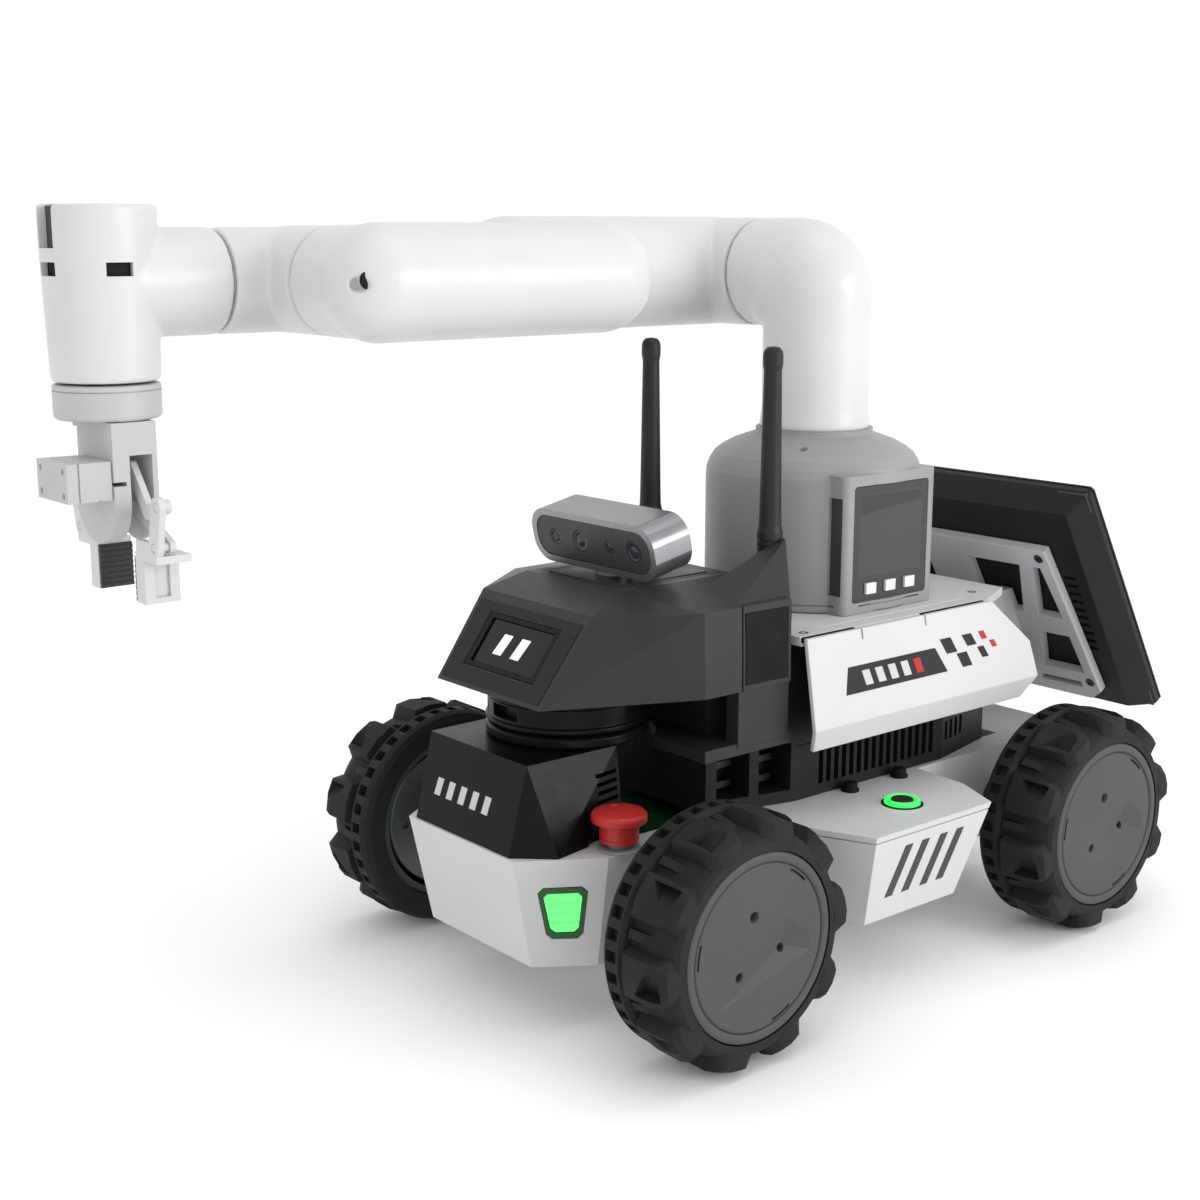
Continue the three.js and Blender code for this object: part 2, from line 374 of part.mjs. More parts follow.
// ---- gripper -------------------------------------------------------------------------------------------
const GX0 = 238, GX1 = 254, GR = 15.5;
const bodyOutline = [[GRIP_Y - GR, 200.5], [GRIP_Y - GR, 227.2], [GRIP_Y + GR, 227.2], [GRIP_Y + GR, 200.5]];
for (let i = 1; i < 10; i++) { const a = (i / 10) * Math.PI; bodyOutline.push([GRIP_Y + GR * Math.cos(a), 200.5 - GR * Math.sin(a)]); }
// pivots of the linkage, as [distance from the centre plane, height]; both bars are the same length and parallel
const PA = [8, 211], PB = [32, 200.5], PC = [5, 197], PD = [29, 186.5], PE = [19.5, 197];
let gbody = cut(prism("x", bodyOutline, GX0, GX1), box(240, 248, GRIP_Y - 17, GRIP_Y + 17, 180, 216), box(249.5, 256, GRIP_Y + 8, GRIP_Y + 18, 206, 207.4));
for (const s of [1, -1]) {
  gbody = cut(gbody, rod("x", GRIP_Y + s * PA[0], PA[1], 1.7, 247, 250.4, 10), rod("x", GRIP_Y + s * PC[0], PC[1], 1.7, 238.5, 241, 10));
}
put(arm, "gripper_body", gbody, "grey");
put(arm, "gripper_servo", box(254.2, 270, GRIP_Y - 9.5, GRIP_Y + 14.5, 201.5, 214.6), "grey");

const bar = (s, x0, x1, p, q, w) => {
  const [ux, uz] = [q[0] - p[0], q[1] - p[1]];
  const l = Math.hypot(ux, uz);
  const [nx, nz] = [(-uz / l) * w, (ux / l) * w];
  const pts = [[p[0] + nx, p[1] + nz], [p[0] - nx, p[1] - nz], [q[0] - nx, q[1] - nz], [q[0] + nx, q[1] + nz]];
  return join(prism("x", pts.map(([a, b]) => [GRIP_Y + s * a, b]), x0, x1), ...[p, q].map(([a, b]) => rod("x", GRIP_Y + s * a, b, w, x0, x1, 12)));
};
const pin = (s, x0, x1, p, r) => rod("x", GRIP_Y + s * p[0], p[1], r, x0, x1, 10);
for (const [side, s] of [["left", 1], ["right", -1]]) {
  put(arm, `lever_${side}`, join(bar(s, 242.8, 245.1, PA, PE, 2.4), bar(s, 242.8, 245.1, PE, PB, 2.4), pin(s, 244.8, 250, PA, 1.5), pin(s, 244.8, 247.6, PB, 1.4)), "white");
  put(arm, `follower_${side}`, join(bar(s, 240.3, 242.5, PC, PD, 2.2), pin(s, 238.8, 240.6, PC, 1.5), pin(s, 242.2, 247.6, PD, 1.4)), "white");
  const y = (a, b) => (s > 0 ? [GRIP_Y + a, GRIP_Y + b] : [GRIP_Y - b, GRIP_Y - a]);
  let finger = join(bar(s, 245.4, 247.7, PB, PD, 3.4), box(245.4, 247.7, ...y(16, 31), 181, 188), box(235, 247.7, ...y(15, 31), 181, 183.6),
    box(235, 247.7, ...y(15, 21.5), 166, 182));
  finger = cut(finger, pin(s, 245, 248.5, PB, 1.62), pin(s, 245, 248.5, PD, 1.62), box(238.5, 244, ...y(20.2, 24), 168, 179));
  put(arm, `finger_${side}`, finger, "white");
  put(arm, `pad_${side}`, box(235.3, 247.4, ...y(13.5, 14.8), 166.3, 181.7), "pad");
}

export default group;
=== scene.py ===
import math

import bmesh
import bpy
from mathutils import Matrix, Vector


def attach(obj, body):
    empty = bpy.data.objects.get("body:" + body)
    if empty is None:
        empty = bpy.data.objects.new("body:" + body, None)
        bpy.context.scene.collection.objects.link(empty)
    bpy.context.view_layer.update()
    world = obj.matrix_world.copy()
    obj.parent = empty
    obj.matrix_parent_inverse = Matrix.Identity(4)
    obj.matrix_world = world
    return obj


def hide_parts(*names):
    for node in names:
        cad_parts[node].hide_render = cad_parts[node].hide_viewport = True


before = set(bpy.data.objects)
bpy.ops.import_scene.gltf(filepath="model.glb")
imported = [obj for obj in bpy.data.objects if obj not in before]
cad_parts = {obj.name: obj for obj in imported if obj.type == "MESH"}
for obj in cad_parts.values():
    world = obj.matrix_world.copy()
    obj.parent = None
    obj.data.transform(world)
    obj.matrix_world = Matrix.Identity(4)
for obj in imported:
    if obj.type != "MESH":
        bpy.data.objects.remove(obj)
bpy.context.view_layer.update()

# ---------------------------------------------------------------- units
# Pieces are drawn in millimetres, X forward, Y left, Z up, about the wheelbase centre.
SHIFT = Matrix.Scale(0.001, 4) @ Matrix.Translation((-45.0, 0.0, -4.5))
scene = bpy.context.scene


# ---------------------------------------------------------------- mesh tools
def wrap(bm, name="tmp"):
    bmesh.ops.recalc_face_normals(bm, faces=bm.faces)
    me = bpy.data.meshes.new(name)
    bm.to_mesh(me)
    bm.free()
    o = bpy.data.objects.new(name, me)
    scene.collection.objects.link(o)
    return o


def hull(pts):
    bm = bmesh.new()
    for p in pts:
        bm.verts.new(p)
    bmesh.ops.convex_hull(bm, input=bm.verts)
    dead = [v for v in bm.verts if not v.link_faces]
    bmesh.ops.delete(bm, geom=dead, context="VERTS")
    bmesh.ops.dissolve_limit(bm, angle_limit=0.002, verts=bm.verts, edges=bm.edges)
    return wrap(bm)


def box(x0, x1, y0, y1, z0, z1):
    return hull([(x, y, z) for x in (x0, x1) for y in (y0, y1) for z in (z0, z1)])


def at(axis, a, b, h):
    # a, b in the plane across the axis, h along it
    if axis == "x":
        return (h, a, b)
    if axis == "y":
        return (a, h, b)
    return (a, b, h)


def prism(axis, outline, h0, h1):
    bm = bmesh.new()
    lo_ = [bm.verts.new(at(axis, a, b, h0)) for a, b in outline]
    hi_ = [bm.verts.new(at(axis, a, b, h1)) for a, b in outline]
    n = len(outline)
    bm.faces.new(lo_)
    bm.faces.new(hi_)
    for i in range(n):
        bm.faces.new((lo_[i], lo_[(i + 1) % n], hi_[(i + 1) % n], hi_[i]))
    return wrap(bm)


def turned(axis, p, q, profile, n=96):
    """Revolved [radius, height] profile about an axis through (p, q)."""
    prof = list(profile)
    closed = prof[0][0] > 0
    bm = bmesh.new()
    rings = []
    for r, h in prof:
        if r <= 0:
            rings.append([bm.verts.new(at(axis, p, q, h))])
        else:
            rings.append([bm.verts.new(at(axis, p + r * math.cos(2 * math.pi * i / n), q + r * math.sin(2 * math.pi * i / n), h)) for i in range(n)])
    pairs = list(zip(rings, rings[1:]))
    if closed:
        pairs.append((rings[-1], rings[0]))
    for a, b in pairs:
        if len(a) == 1 and len(b) == 1:
            continue
        for i in range(n):
            j = (i + 1) % n
            if len(a) == 1:
                bm.faces.new((a[0], b[i], b[j]))
            elif len(b) == 1:
                bm.faces.new((a[i], a[j], b[0]))
            else:
                bm.faces.new((a[i], a[j], b[j], b[i]))
    return wrap(bm)


def rod(axis, p, q, r, h0, h1, n=64):
    return turned(axis, p, q, [(0, h0), (r, h0), (r, h1), (0, h1)], n)


def tube(axis, p, q, r0, r1, h0, h1, n=64):
    return turned(axis, p, q, [(r0, h0), (r1, h0), (r1, h1), (r0, h1)], n)


def ball(x, y, z, r, n=64):
    k = n // 2
    return turned("z", x, y, [(r * math.sin(math.pi * i / k) if 0 < i < k else 0, z - r * math.cos(math.pi * i / k)) for i in range(k + 1)], n)


def round_rect(cx, cy, w, h, r, n=8):
    pts = []
    for sx, sy, a0 in ((1, 1, 0), (-1, 1, 90), (-1, -1, 180), (1, -1, 270)):
        for i in range(n + 1):
            a = math.radians(a0 + 90 * i / n)
            pts.append((cx + sx * (w / 2 - r) + r * math.cos(a), cy + sy * (h / 2 - r) + r * math.sin(a)))
    return pts


def flip(pts, s):
    return [(x, s * y, z) for x, y, z in pts]


def both(pts):
    return [(x, s * y, z) for x, y, z in pts for s in (1, -1)]


def bake(o):
    bpy.context.view_layer.update()
    dg = bpy.context.evaluated_depsgraph_get()
    me = bpy.data.meshes.new_from_object(o.evaluated_get(dg))
    old = o.data
    o.modifiers.clear()
    o.data = me
    bpy.data.meshes.remove(old)
    return o


def drop(o):
    me = o.data
    bpy.data.objects.remove(o)
    if me.users == 0:
        bpy.data.meshes.remove(me)


def csg(a, op, tools):
    for t in tools:
        m = a.modifiers.new("b", "BOOLEAN")
        m.operation = op
        m.object = t
        m.solver = "MANIFOLD"
    bake(a)
    if not len(a.data.polygons):
        raise RuntimeError("an empty result from " + op)
    for t in tools:
        drop(t)
    return a


def cut(a, *tools):
    return csg(a, "DIFFERENCE", tools)


def join(a, *tools):
    return csg(a, "UNION", tools)


def moved(o, m):
    o.data.transform(m)
    if m.determinant() < 0:
        o.data.flip_normals()
    return o


def copy(o):
    c = bpy.data.objects.new("tmp", o.data.copy())
    scene.collection.objects.link(c)
    return c


def tidy(o):
    bm = bmesh.new()
    bm.from_mesh(o.data)
    bmesh.ops.remove_doubles(bm, verts=bm.verts, dist=0.004)
    bmesh.ops.dissolve_degenerate(bm, edges=bm.edges, dist=0.004)
    bmesh.ops.dissolve_limit(bm, angle_limit=0.006, verts=bm.verts, edges=bm.edges, delimit={"MATERIAL"})
    bm.to_mesh(o.data)
    bm.free()
    return o


def piece(o, name, body, mat, nodes=(), bevel=0.5, seg=3, angle=9):
    """Rounds the edges, moves the piece into the row frame and hangs it on its body."""
    o.name = name
    o.data.name = name
    tidy(o)
    o.data.transform(SHIFT)
    if bevel:
        m = o.modifiers.new("edge", "BEVEL")
        m.width = bevel / 1000
        m.segments = seg
        m.limit_method = "ANGLE"
        m.angle_limit = math.radians(angle)
        m.use_clamp_overlap = True
        bake(o)
    o.data.shade_smooth()
    o.data.set_sharp_from_angle(angle=math.radians(32))
    m = o.modifiers.new("flats", "WEIGHTED_NORMAL")
    m.mode = "FACE_AREA"
    m.weight = 80
    m.keep_sharp = True
    bake(o)
    o.data.materials.clear()
    o.data.materials.append(mat)
    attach(o, body)
    if nodes:
        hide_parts(*nodes)
    return o


def organic(o, name, body, mat, nodes, voxel=1.05, smooth=14, keep=0.35):
    """Blends the joins of a moulded shell into one fair skin."""
    o.name = name
    o.data.name = name
    m = o.modifiers.new("skin", "REMESH")
    m.mode = "VOXEL"
    m.voxel_size = voxel
    m = o.modifiers.new("fair", "SMOOTH")
    m.factor = 0.5
    m.iterations = smooth
    m = o.modifiers.new("lighter", "DECIMATE")
    m.ratio = keep
    bake(o)
    o.data.transform(SHIFT)
    o.data.shade_smooth()
    o.data.set_sharp_from_angle(angle=math.radians(60))
    o.data.materials.clear()
    o.data.materials.append(mat)
    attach(o, body)
    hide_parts(*nodes)
    return o


# ---------------------------------------------------------------- materials
def lin(c):
    c = c / 255
    return c / 12.92 if c <= 0.04045 else ((c + 0.055) / 1.055) ** 2.4


def rgb(hexa):
    return tuple(lin((hexa >> s) & 255) for s in (16, 8, 0))


def finish(name, hexa, rough, metal=0.0, coat=0.0, vary=0.05, grain=2200.0, bump=0.12, spread=0.07, streak=None, spec=0.5, emit=0.0, sheen=0.0, wear=0.0):
    mat = bpy.data.materials.new(name)
    mat.use_nodes = True
    nt = mat.node_tree
    b = nt.nodes["Principled BSDF"]
    b.inputs["Metallic"].default_value = metal
    b.inputs["Coat Weight"].default_value = coat
    b.inputs["Coat Roughness"].default_value = 0.06
    b.inputs["Specular IOR Level"].default_value = spec
    if sheen:
        b.inputs["Sheen Weight"].default_value = sheen
    co = nt.nodes.new("ShaderNodeTexCoord")
    mp = nt.nodes.new("ShaderNodeMapping")
    mp.inputs["Scale"].default_value = streak or (1, 1, 1)
    nt.links.new(co.outputs["Object"], mp.inputs["Vector"])

    def noise(scale, detail, rough_=0.5):
        n = nt.nodes.new("ShaderNodeTexNoise")
        n.inputs["Scale"].default_value = scale
        n.inputs["Detail"].default_value = detail
        n.inputs["Roughness"].default_value = rough_
        nt.links.new(mp.outputs["Vector"], n.inputs["Vector"])
        return n

    broad = noise(28, 3)
    fine = noise(grain, 2, 0.6)
    tone = nt.nodes.new("ShaderNodeMath")
    tone.operation = "MULTIPLY_ADD"
    nt.links.new(fine.outputs["Fac"], tone.inputs[0])
    tone.inputs[1].default_value = 0.35
    nt.links.new(broad.outputs["Fac"], tone.inputs[2])
    ramp = nt.nodes.new("ShaderNodeValToRGB")
    base = rgb(hexa)
    ramp.color_ramp.elements[0].position = 0.45
    ramp.color_ramp.elements[1].position = 0.9
    ramp.color_ramp.elements[0].color = (*[c * (1 - vary) for c in base], 1)
    ramp.color_ramp.elements[1].color = (*[min(1, c * (1 + vary)) for c in base], 1)
    nt.links.new(tone.outputs[0], ramp.inputs["Fac"])
    nt.links.new(ramp.outputs["Color"], b.inputs["Base Color"])
    # handled surfaces are a little smoother in places
    gloss = noise(55, 4, 0.65)
    rm = nt.nodes.new("ShaderNodeMapRange")
    rm.inputs["From Min"].default_value = 0.3
    rm.inputs["From Max"].default_value = 0.7
    rm.inputs["To Min"].default_value = max(0.02, rough - spread)
    rm.inputs["To Max"].default_value = min(1, rough + spread)
    nt.links.new(gloss.outputs["Fac"], rm.inputs["Value"])
    nt.links.new(rm.outputs["Result"], b.inputs["Roughness"])
    bp = nt.nodes.new("ShaderNodeBump")
    bp.inputs["Strength"].default_value = bump
    bp.inputs["Distance"].default_value = 0.00012
    nt.links.new(fine.outputs["Fac"], bp.inputs["Height"])
    nt.links.new(bp.outputs["Normal"], b.inputs["Normal"])
    if emit:
        b.inputs["Emission Color"].default_value = (*base, 1)
        b.inputs["Emission Strength"].default_value = emit
    return mat


M = {
    "white_plastic": finish("white_moulding", 0xC6C6C7, 0.42, vary=0.025, bump=0.10, grain=1800, spec=0.4),
    "arm_white": finish("arm_shell_satin", 0xCCCCCC, 0.36, vary=0.02, bump=0.06, grain=1500, coat=0.08, spec=0.35),
    "charcoal_plastic": finish("charcoal_moulding", 0x272728, 0.40, vary=0.12, bump=0.16, grain=2600, spec=0.3),
    "black_gloss": finish("black_gloss_moulding", 0x0D0E0F, 0.28, vary=0.15, bump=0.03, spread=0.06, spec=0.12),
    "tyre_rubber": finish("tyre_rubber_matt", 0x1C1D1E, 0.70, vary=0.18, bump=0.35, grain=1500, spread=0.1, spec=0.25),
    "hub_grey": finish("hub_cap_grey", 0x464647, 0.55, vary=0.06, bump=0.22, grain=2400, spec=0.3),
    "motor_metal": finish("motor_can_metal", 0x77797C, 0.38, metal=1.0, vary=0.08, grain=900, streak=(1, 6, 1)),
    "red_plastic": finish("red_moulding", 0xB22E2B, 0.38, vary=0.06, bump=0.08, grain=1600, coat=0.05, spec=0.3),
    "green_light": finish("green_lamp_lens", 0x5FEB74, 0.28, vary=0.10, bump=0.10, grain=700, emit=0.85),
    "silver_metal": finish("silver_anodised", 0x8E8F91, 0.30, metal=0.85, vary=0.05, grain=2600, bump=0.10, streak=(1, 0.15, 1)),
    "dark_glass": finish("dark_glass_panel", 0x0A0B0C, 0.12, vary=0.15, bump=0.01, coat=0.06, spread=0.04, spec=0.22),
    "light_grey": finish("light_grey_moulding", 0x8E8E90, 0.46, vary=0.035, bump=0.14, grain=1900, spec=0.35),
    "bracket_grey": finish("bracket_grey_paint", 0xC2C4C6, 0.44, vary=0.05, bump=0.20, grain=1400, spec=0.35),
    "dark_plastic": finish("dark_moulding", 0x191A1B, 0.50, vary=0.14, bump=0.20, grain=2300, spec=0.22),
    "antenna_black": finish("antenna_rubber", 0x1B1C1D, 0.48, vary=0.14, bump=0.20, grain=1700, spec=0.3),
    "circuit_green": finish("board_green", 0x1F5A34, 0.45, vary=0.2, grain=1200),
    "battery_wrap": finish("battery_wrap_dark", 0x23252B, 0.35, vary=0.12, grain=1100),
    "key_white": finish("key_white_cap", 0xDCDCDC, 0.40, vary=0.03, grain=1500),
    "pad_rubber": finish("pad_rubber_grey", 0x3A3B3D, 0.80, vary=0.10, bump=0.4, grain=1300, spec=0.25),
}
M_TOOL = finish("tool_grey_moulding", 0xB4B4B6, 0.44, vary=0.035, bump=0.14, grain=1900, spec=0.35)
M_LAMP_RIM = finish("lamp_rim_green", 0x0C4A1C, 0.35, vary=0.12, bump=0.08, coat=0.1)
M_LENS = finish("lens_glass", 0x2A2C30, 0.12, vary=0.2, bump=0.0, coat=0.1, spread=0.03, spec=0.3)
# painted shade for the joint gaps
M_JOINT_GAP_SHADE = finish("joint_gap_shade_grey", 0x8C8C8D, 0.6, vary=0.08, bump=0.1, spec=0.3)
M_EYE = finish("eye_bar_white", 0xF0F0F0, 0.35, vary=0.03, emit=0.25)
M_INK = finish("dark_inlay", 0x101011, 0.38, vary=0.12, bump=0.05, spec=0.3)
# soft grey for clips, a cover and printed bars; also painted shade at the backs of the base slot and wrist recess
M_SOFT_GREY_AND_SHADE = finish("soft_grey_and_painted_shade", 0x3C3D3E, 0.45, vary=0.08, bump=0.06, spec=0.3)
M_RED_INK = finish("red_inlay", 0xA8231E, 0.42, vary=0.06, bump=0.05, spec=0.3)
M_PALE_INK = finish("pale_inlay", 0xBEBFC0, 0.42, vary=0.05, bump=0.05)
M_STEEL = finish("screw_steel", 0x3C3D3F, 0.34, metal=0.9, vary=0.12, grain=1500, streak=(1, 1, 4))
# near black for dark parts; also painted shade inside openings, gaps and holes
M_DEEP = finish("near_black_and_painted_shade", 0x080809, 0.65, vary=0.2, spec=0.2)
M_SCREEN = finish("small_screen_glass", 0x29292A, 0.14, vary=0.05, bump=0.01, coat=0.1, spread=0.04, spec=0.4)

# inner parts keep their frame meshes and take the same finishes
for node in ("battery", "main_board", "j1_servo"):
    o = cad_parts[node]
    look = {"battery": "battery_wrap", "main_board": "circuit_green", "j1_servo": "motor_metal"}[node]
    o.data.materials.clear()
    o.data.materials.append(M[look])

TRAY_TOP, TRAY_BOTTOM = 72.5, 30.0
WHEEL_X, WHEEL_Z = 100.0, 50.5


def mix(a, b, t):
    return [a[i] + (b[i] - a[i]) * t for i in range(3)]


def screw(axis, p, q, r, h, out, body, name, slotted=True):
    """A countersunk socket screw: head, dished rim and a hex recess."""
    s = 1 if out > 0 else -1
    o = turned(axis, p, q, [(0, h - s * 0.8), (r * 0.9, h - s * 0.8), (r, h + s * 0.05), (r * 0.82, h + s * 0.35), (0, h + s * 0.35)] if s > 0 else
               [(0, h + 0.8), (r * 0.9, h + 0.8), (r, h - 0.05), (r * 0.82, h - 0.35), (0, h - 0.35)], 28)
    hexa = [(p + r * 0.5 * math.cos(math.pi / 3 * i), q + r * 0.5 * math.sin(math.pi / 3 * i)) for i in range(6)]
    o = cut(o, prism(axis, hexa, h - 0.3 if s > 0 else h - 1, h + 1 if s > 0 else h + 0.3))
    return piece(o, name, body, M_STEEL, bevel=0.08, seg=1)


# ---------------------------------------------------------------- chassis tray
tub = both([(150, 32.5, TRAY_TOP), (121.4, 51, TRAY_TOP), (-121.4, 51, TRAY_TOP), (-150, 32.5, TRAY_TOP),
            (141, 31, TRAY_BOTTOM), (121.4, 45, TRAY_BOTTOM), (-121.4, 45, TRAY_BOTTOM), (-141, 31, TRAY_BOTTOM)])
pod = [(45, 44, TRAY_TOP), (43, 76, TRAY_TOP), (33, 98, TRAY_TOP), (-33, 98, TRAY_TOP), (-43, 76, TRAY_TOP), (-45, 44, TRAY_TOP),
       (38, 44, 32), (30, 70, 32.5), (26, 87, 33.5), (-26, 87, 33.5), (-30, 70, 32.5), (-38, 44, 32)]


def lamp_corner(s, t, out):
    p = mix(mix((150, 32.5, TRAY_TOP), (121.4, 51, TRAY_TOP), s), mix((141, 31, TRAY_BOTTOM), (121.4, 45, TRAY_BOTTOM), s), t)
    n = (0.53, 0.84, -0.12)
    return tuple(p[i] + n[i] * out for i in range(3))


def lamp_block(s0, s1, t0, t1, o0, o1, s=1):
    # corners taken off, so the lamp reads as a soft trapezium
    pts = []
    ds, dt = (s1 - s0) * 0.12, (t1 - t0) * 0.10
    for o in (o0, o1):
        for (a, b) in ((s0 + ds, t0), (s1 - ds, t0), (s1, t0 + dt), (s1 - 0.035, t1 - dt), (s1 - 0.04 - ds, t1), (s0 + 0.06 + ds, t1), (s0 + 0.05, t1 - dt), (s0, t0 + dt)):
            pts.append(lamp_corner(a, b, o))
    return flip(pts, s)


def shrunk(pts, k, cy):
    return [(x * (1 - k / 40), cy + (y - cy) * (1 - k / 50), z) for x, y, z in pts]


tray = join(hull(tub), hull(pod), hull(flip(pod, -1)))
tray = cut(tray, box(-112, 112, -39, 39, TRAY_BOTTOM + 3, TRAY_TOP + 5))
for s in (1, -1):
    tools = [hull(lamp_block(0.22, 0.8, 0.25, 0.735, -2.6, 2, s))]
    for x in (WHEEL_X, -WHEEL_X):
        tools.append(rod("y", x, WHEEL_Z, 7, *sorted((s * 36, s * 60)), 40))
    # a shut line runs round the pod just under its lid
    line = cut(box(-60, 60, *sorted((s * 52, s * 110)), 69.5, 70.1), hull(flip(shrunk(pod, 0.75, 44), s)))
    tools.append(line)
    # power button seat
    if s > 0:
        tools.append(turned("z", -5, 77, [(0, 70.5), (4.9, 70.5), (4.9, 80), (0, 80)], 48))
    tray = cut(tray, *tools)
tray = cut(tray, *[rod("z", x, y, 2.6, 28, 31.2, 32) for x in (-118, -60, 60, 118) for y in (-30, 30)])
piece(tray, "tray_shell", "chassis", M["white_plastic"], ["chassis_tray"], bevel=0.9)
for i, (x, y) in enumerate([(x, y) for x in (-118, -60, 60, 118) for y in (-30, 30)]):
    screw("z", x, y, 2.3, 31.0, -1, "chassis", "underside_screw_%d" % (i + 1))

for side, s in (("left", 1), ("right", -1)):
    rim = cut(hull(lamp_block(0.225, 0.795, 0.255, 0.73, -2.5, 0.35, s)), hull(lamp_block(0.275, 0.745, 0.305, 0.68, -1.4, 3, s)))
    piece(rim, "lamp_rim_" + side, "chassis", M_LAMP_RIM, bevel=0.35)
    lens = hull(lamp_block(0.285, 0.735, 0.315, 0.67, -1.3, 0.1, s))
    ribs = []
    for k in range(1, 4):
        a = 0.315 + 0.355 * k / 4
        ribs.append(hull(flip([lamp_corner(q, a + d, o) for q in (0.2, 0.85) for d in (-0.006, 0.006) for o in (-0.35, 1)], s)))
    lens = cut(lens, *ribs)
    piece(lens, "lamp_lens_" + side, "chassis", M["green_light"], ["light_" + side], bevel=0.25)

# slanted bars stand in for the painted number on each pod
for side, s in (("left", 1), ("right", -1)):
    def on_pod(x, z, o):
        y = 87 + (z - 33.5) * (11 / 39)
        return (x, s * (y + o), z - o * 0.28)
    for k, (xa, w, z0, z1) in enumerate(((18.5, 4.2, 43.5, 65.0), (9.0, 4.2, 43.5, 65.0), (-1.5, 4.2, 43.5, 65.0), (-11.0, 4.2, 43.5, 65.0))):
        bar = hull([on_pod(xa + dx + (0 if z == z0 else -4.2), z, o) for z in (z0, z1) for dx in (0, -w) for o in (-0.4, 0.18)])
        piece(bar, "pod_bar_%s_%d" % (side, k + 1), "chassis", M_SOFT_GREY_AND_SHADE, bevel=0.06, seg=1)

# ---------------------------------------------------------------- front cowl
cowl_pts = both([(149, 29, 72.7), (136, 41, 72.7), (100, 34, 72.7), (141, 29.5, 105), (100, 30, 105)])
cowl = hull(cowl_pts)
cowl = cut(cowl, box(96, 136, -25, 25, 70, 101), rod("z", 112, 45.6, 11, 70, 95), rod("z", 112, -45.6, 11, 70, 95))
tools = []
for s in (1, -1):
    for k in range(6):
        z = 79.5 + 3.2 * k
        tools.append(box(101.5, 112.5, *sorted((s * 26, s * 46)), z, z + 1.5))
cowl = cut(cowl, *tools)
piece(cowl, "cowl_shell", "chassis", M["black_gloss"], ["front_cowl"], bevel=1.0)
for k in range(5):
    y = 12.5 - 7.4 * k

    def on_nose(yy, z, o):
        x = 149 - (z - 72.7) * (8 / 32.3)
        return (x + o, yy, z + o * 0.24)
    bar = hull([on_nose(y + dy + (1.0 if z > 87 else 0), z, o) for z in (83.5, 90.0) for dy in (0, -3.6) for o in (-0.4, 0.15)])
    piece(bar, "nose_bar_%d" % (k + 1), "chassis", M_PALE_INK, bevel=0.06, seg=1)

# ---------------------------------------------------------------- scanner
LX = 99
base = join(turned("z", LX, 0, [(0, 105.2), (30.2, 105.2), (31, 106), (31, 108.7), (30.2, 109.5), (0, 109.5)]), rod("z", LX, 0, 7.9, 109.3, 114))
piece(base, "scanner_base_ring", "chassis", M["black_gloss"], ["lidar_base"], bevel=0.25)
rot = turned("z", LX, 0, [(0, 109.8), (29.6, 109.8), (31, 111), (31, 112.4), (30.2, 112.9), (30.2, 119.6), (31, 120.1), (31, 121.6), (29.5, 123.5), (24, 123.6), (23.4, 123.1), (0, 123.1)])
rot = cut(rot, rod("z", LX, 0, 8.15, 109, 114.4), *[box(LX - 32 if k else LX + 26, LX - 26 if k else LX + 32, -7, 7, 114, 118.6) for k in (0, 1)])
piece(rot, "scanner_turning_head", "lidar_head", M["black_gloss"], ["lidar_rotor"], bevel=0.3)

# ---------------------------------------------------------------- core body
CORE = [(64, 39.5), (25, 49), (-62, 49), (-100, 40)]
core = hull(both([(x, y, z) for x, y in CORE for z in (72.7, 136.2)]))
core = cut(core, box(-90, 20, -41, 41, 70, 132))
for s in (1, -1):
    tools = [box(45.5, 59.5, *sorted((s * 30, s * 60)), 77.5, 96.5), box(27.5, 41.5, *sorted((s * 34, s * 60)), 77.5, 96.5)]
    for i in range(16):
        x = 12.4 - i * 4.4
        tools.append(box(x - 2.5, x, *sorted((s * 46.2, s * 60)), 77, 91))
    for i in range(4):
        tools.append(box(-66.7 - i * 4.4, -64.5 - i * 4.4, *sorted((s * (44.5 - i), s * 60)), 80, 88))
    tools.append(box(-100, 25, *sorted((s * 48.5, s * 60)), 94.5, 95.2))
    core = cut(core, *tools)
core = cut(core, *[box(-110, -97, y - 1.4, y + 1.4, 80, 92) for y in range(-30, 31, 5)])
piece(core, "core_shell", "chassis", M["dark_plastic"], ["core_body"], bevel=0.45)
for side, s in (("left", 1), ("right", -1)):
    for k, x in enumerate((-1.3, -30.4)):
        knob = turned("z", x, s * 53.4, [(0, 72.3), (3.6, 72.3), (3.6, 73.4), (2.9, 74.0), (2.9, 75.4), (2.3, 76.2), (0, 76.4)], 32)
        piece(knob, "foot_knob_%s_%d" % (side, k + 1), "chassis", M_DEEP, bevel=0.15)
    # connector tongues in the side ports
    for k, (x0, x1, y) in enumerate(((47.5, 57.5, 34), (29.5, 39.5, 38))):
        t = box(x0, x1, *sorted((s * (y - 3.4), s * (y + 2.2))), 80.5, 83.2)
        t2 = box(x0, x1, *sorted((s * (y - 3.4), s * (y + 2.2))), 88.5, 91.2)
        piece(join(t, box(x0 + 1, x1 - 1, *sorted((s * (y - 3.6), s * (y - 2))), 82, 90), t2), "port_tongue_%s_%d" % (side, k + 1), "chassis", M_STEEL, bevel=0.15, seg=1)

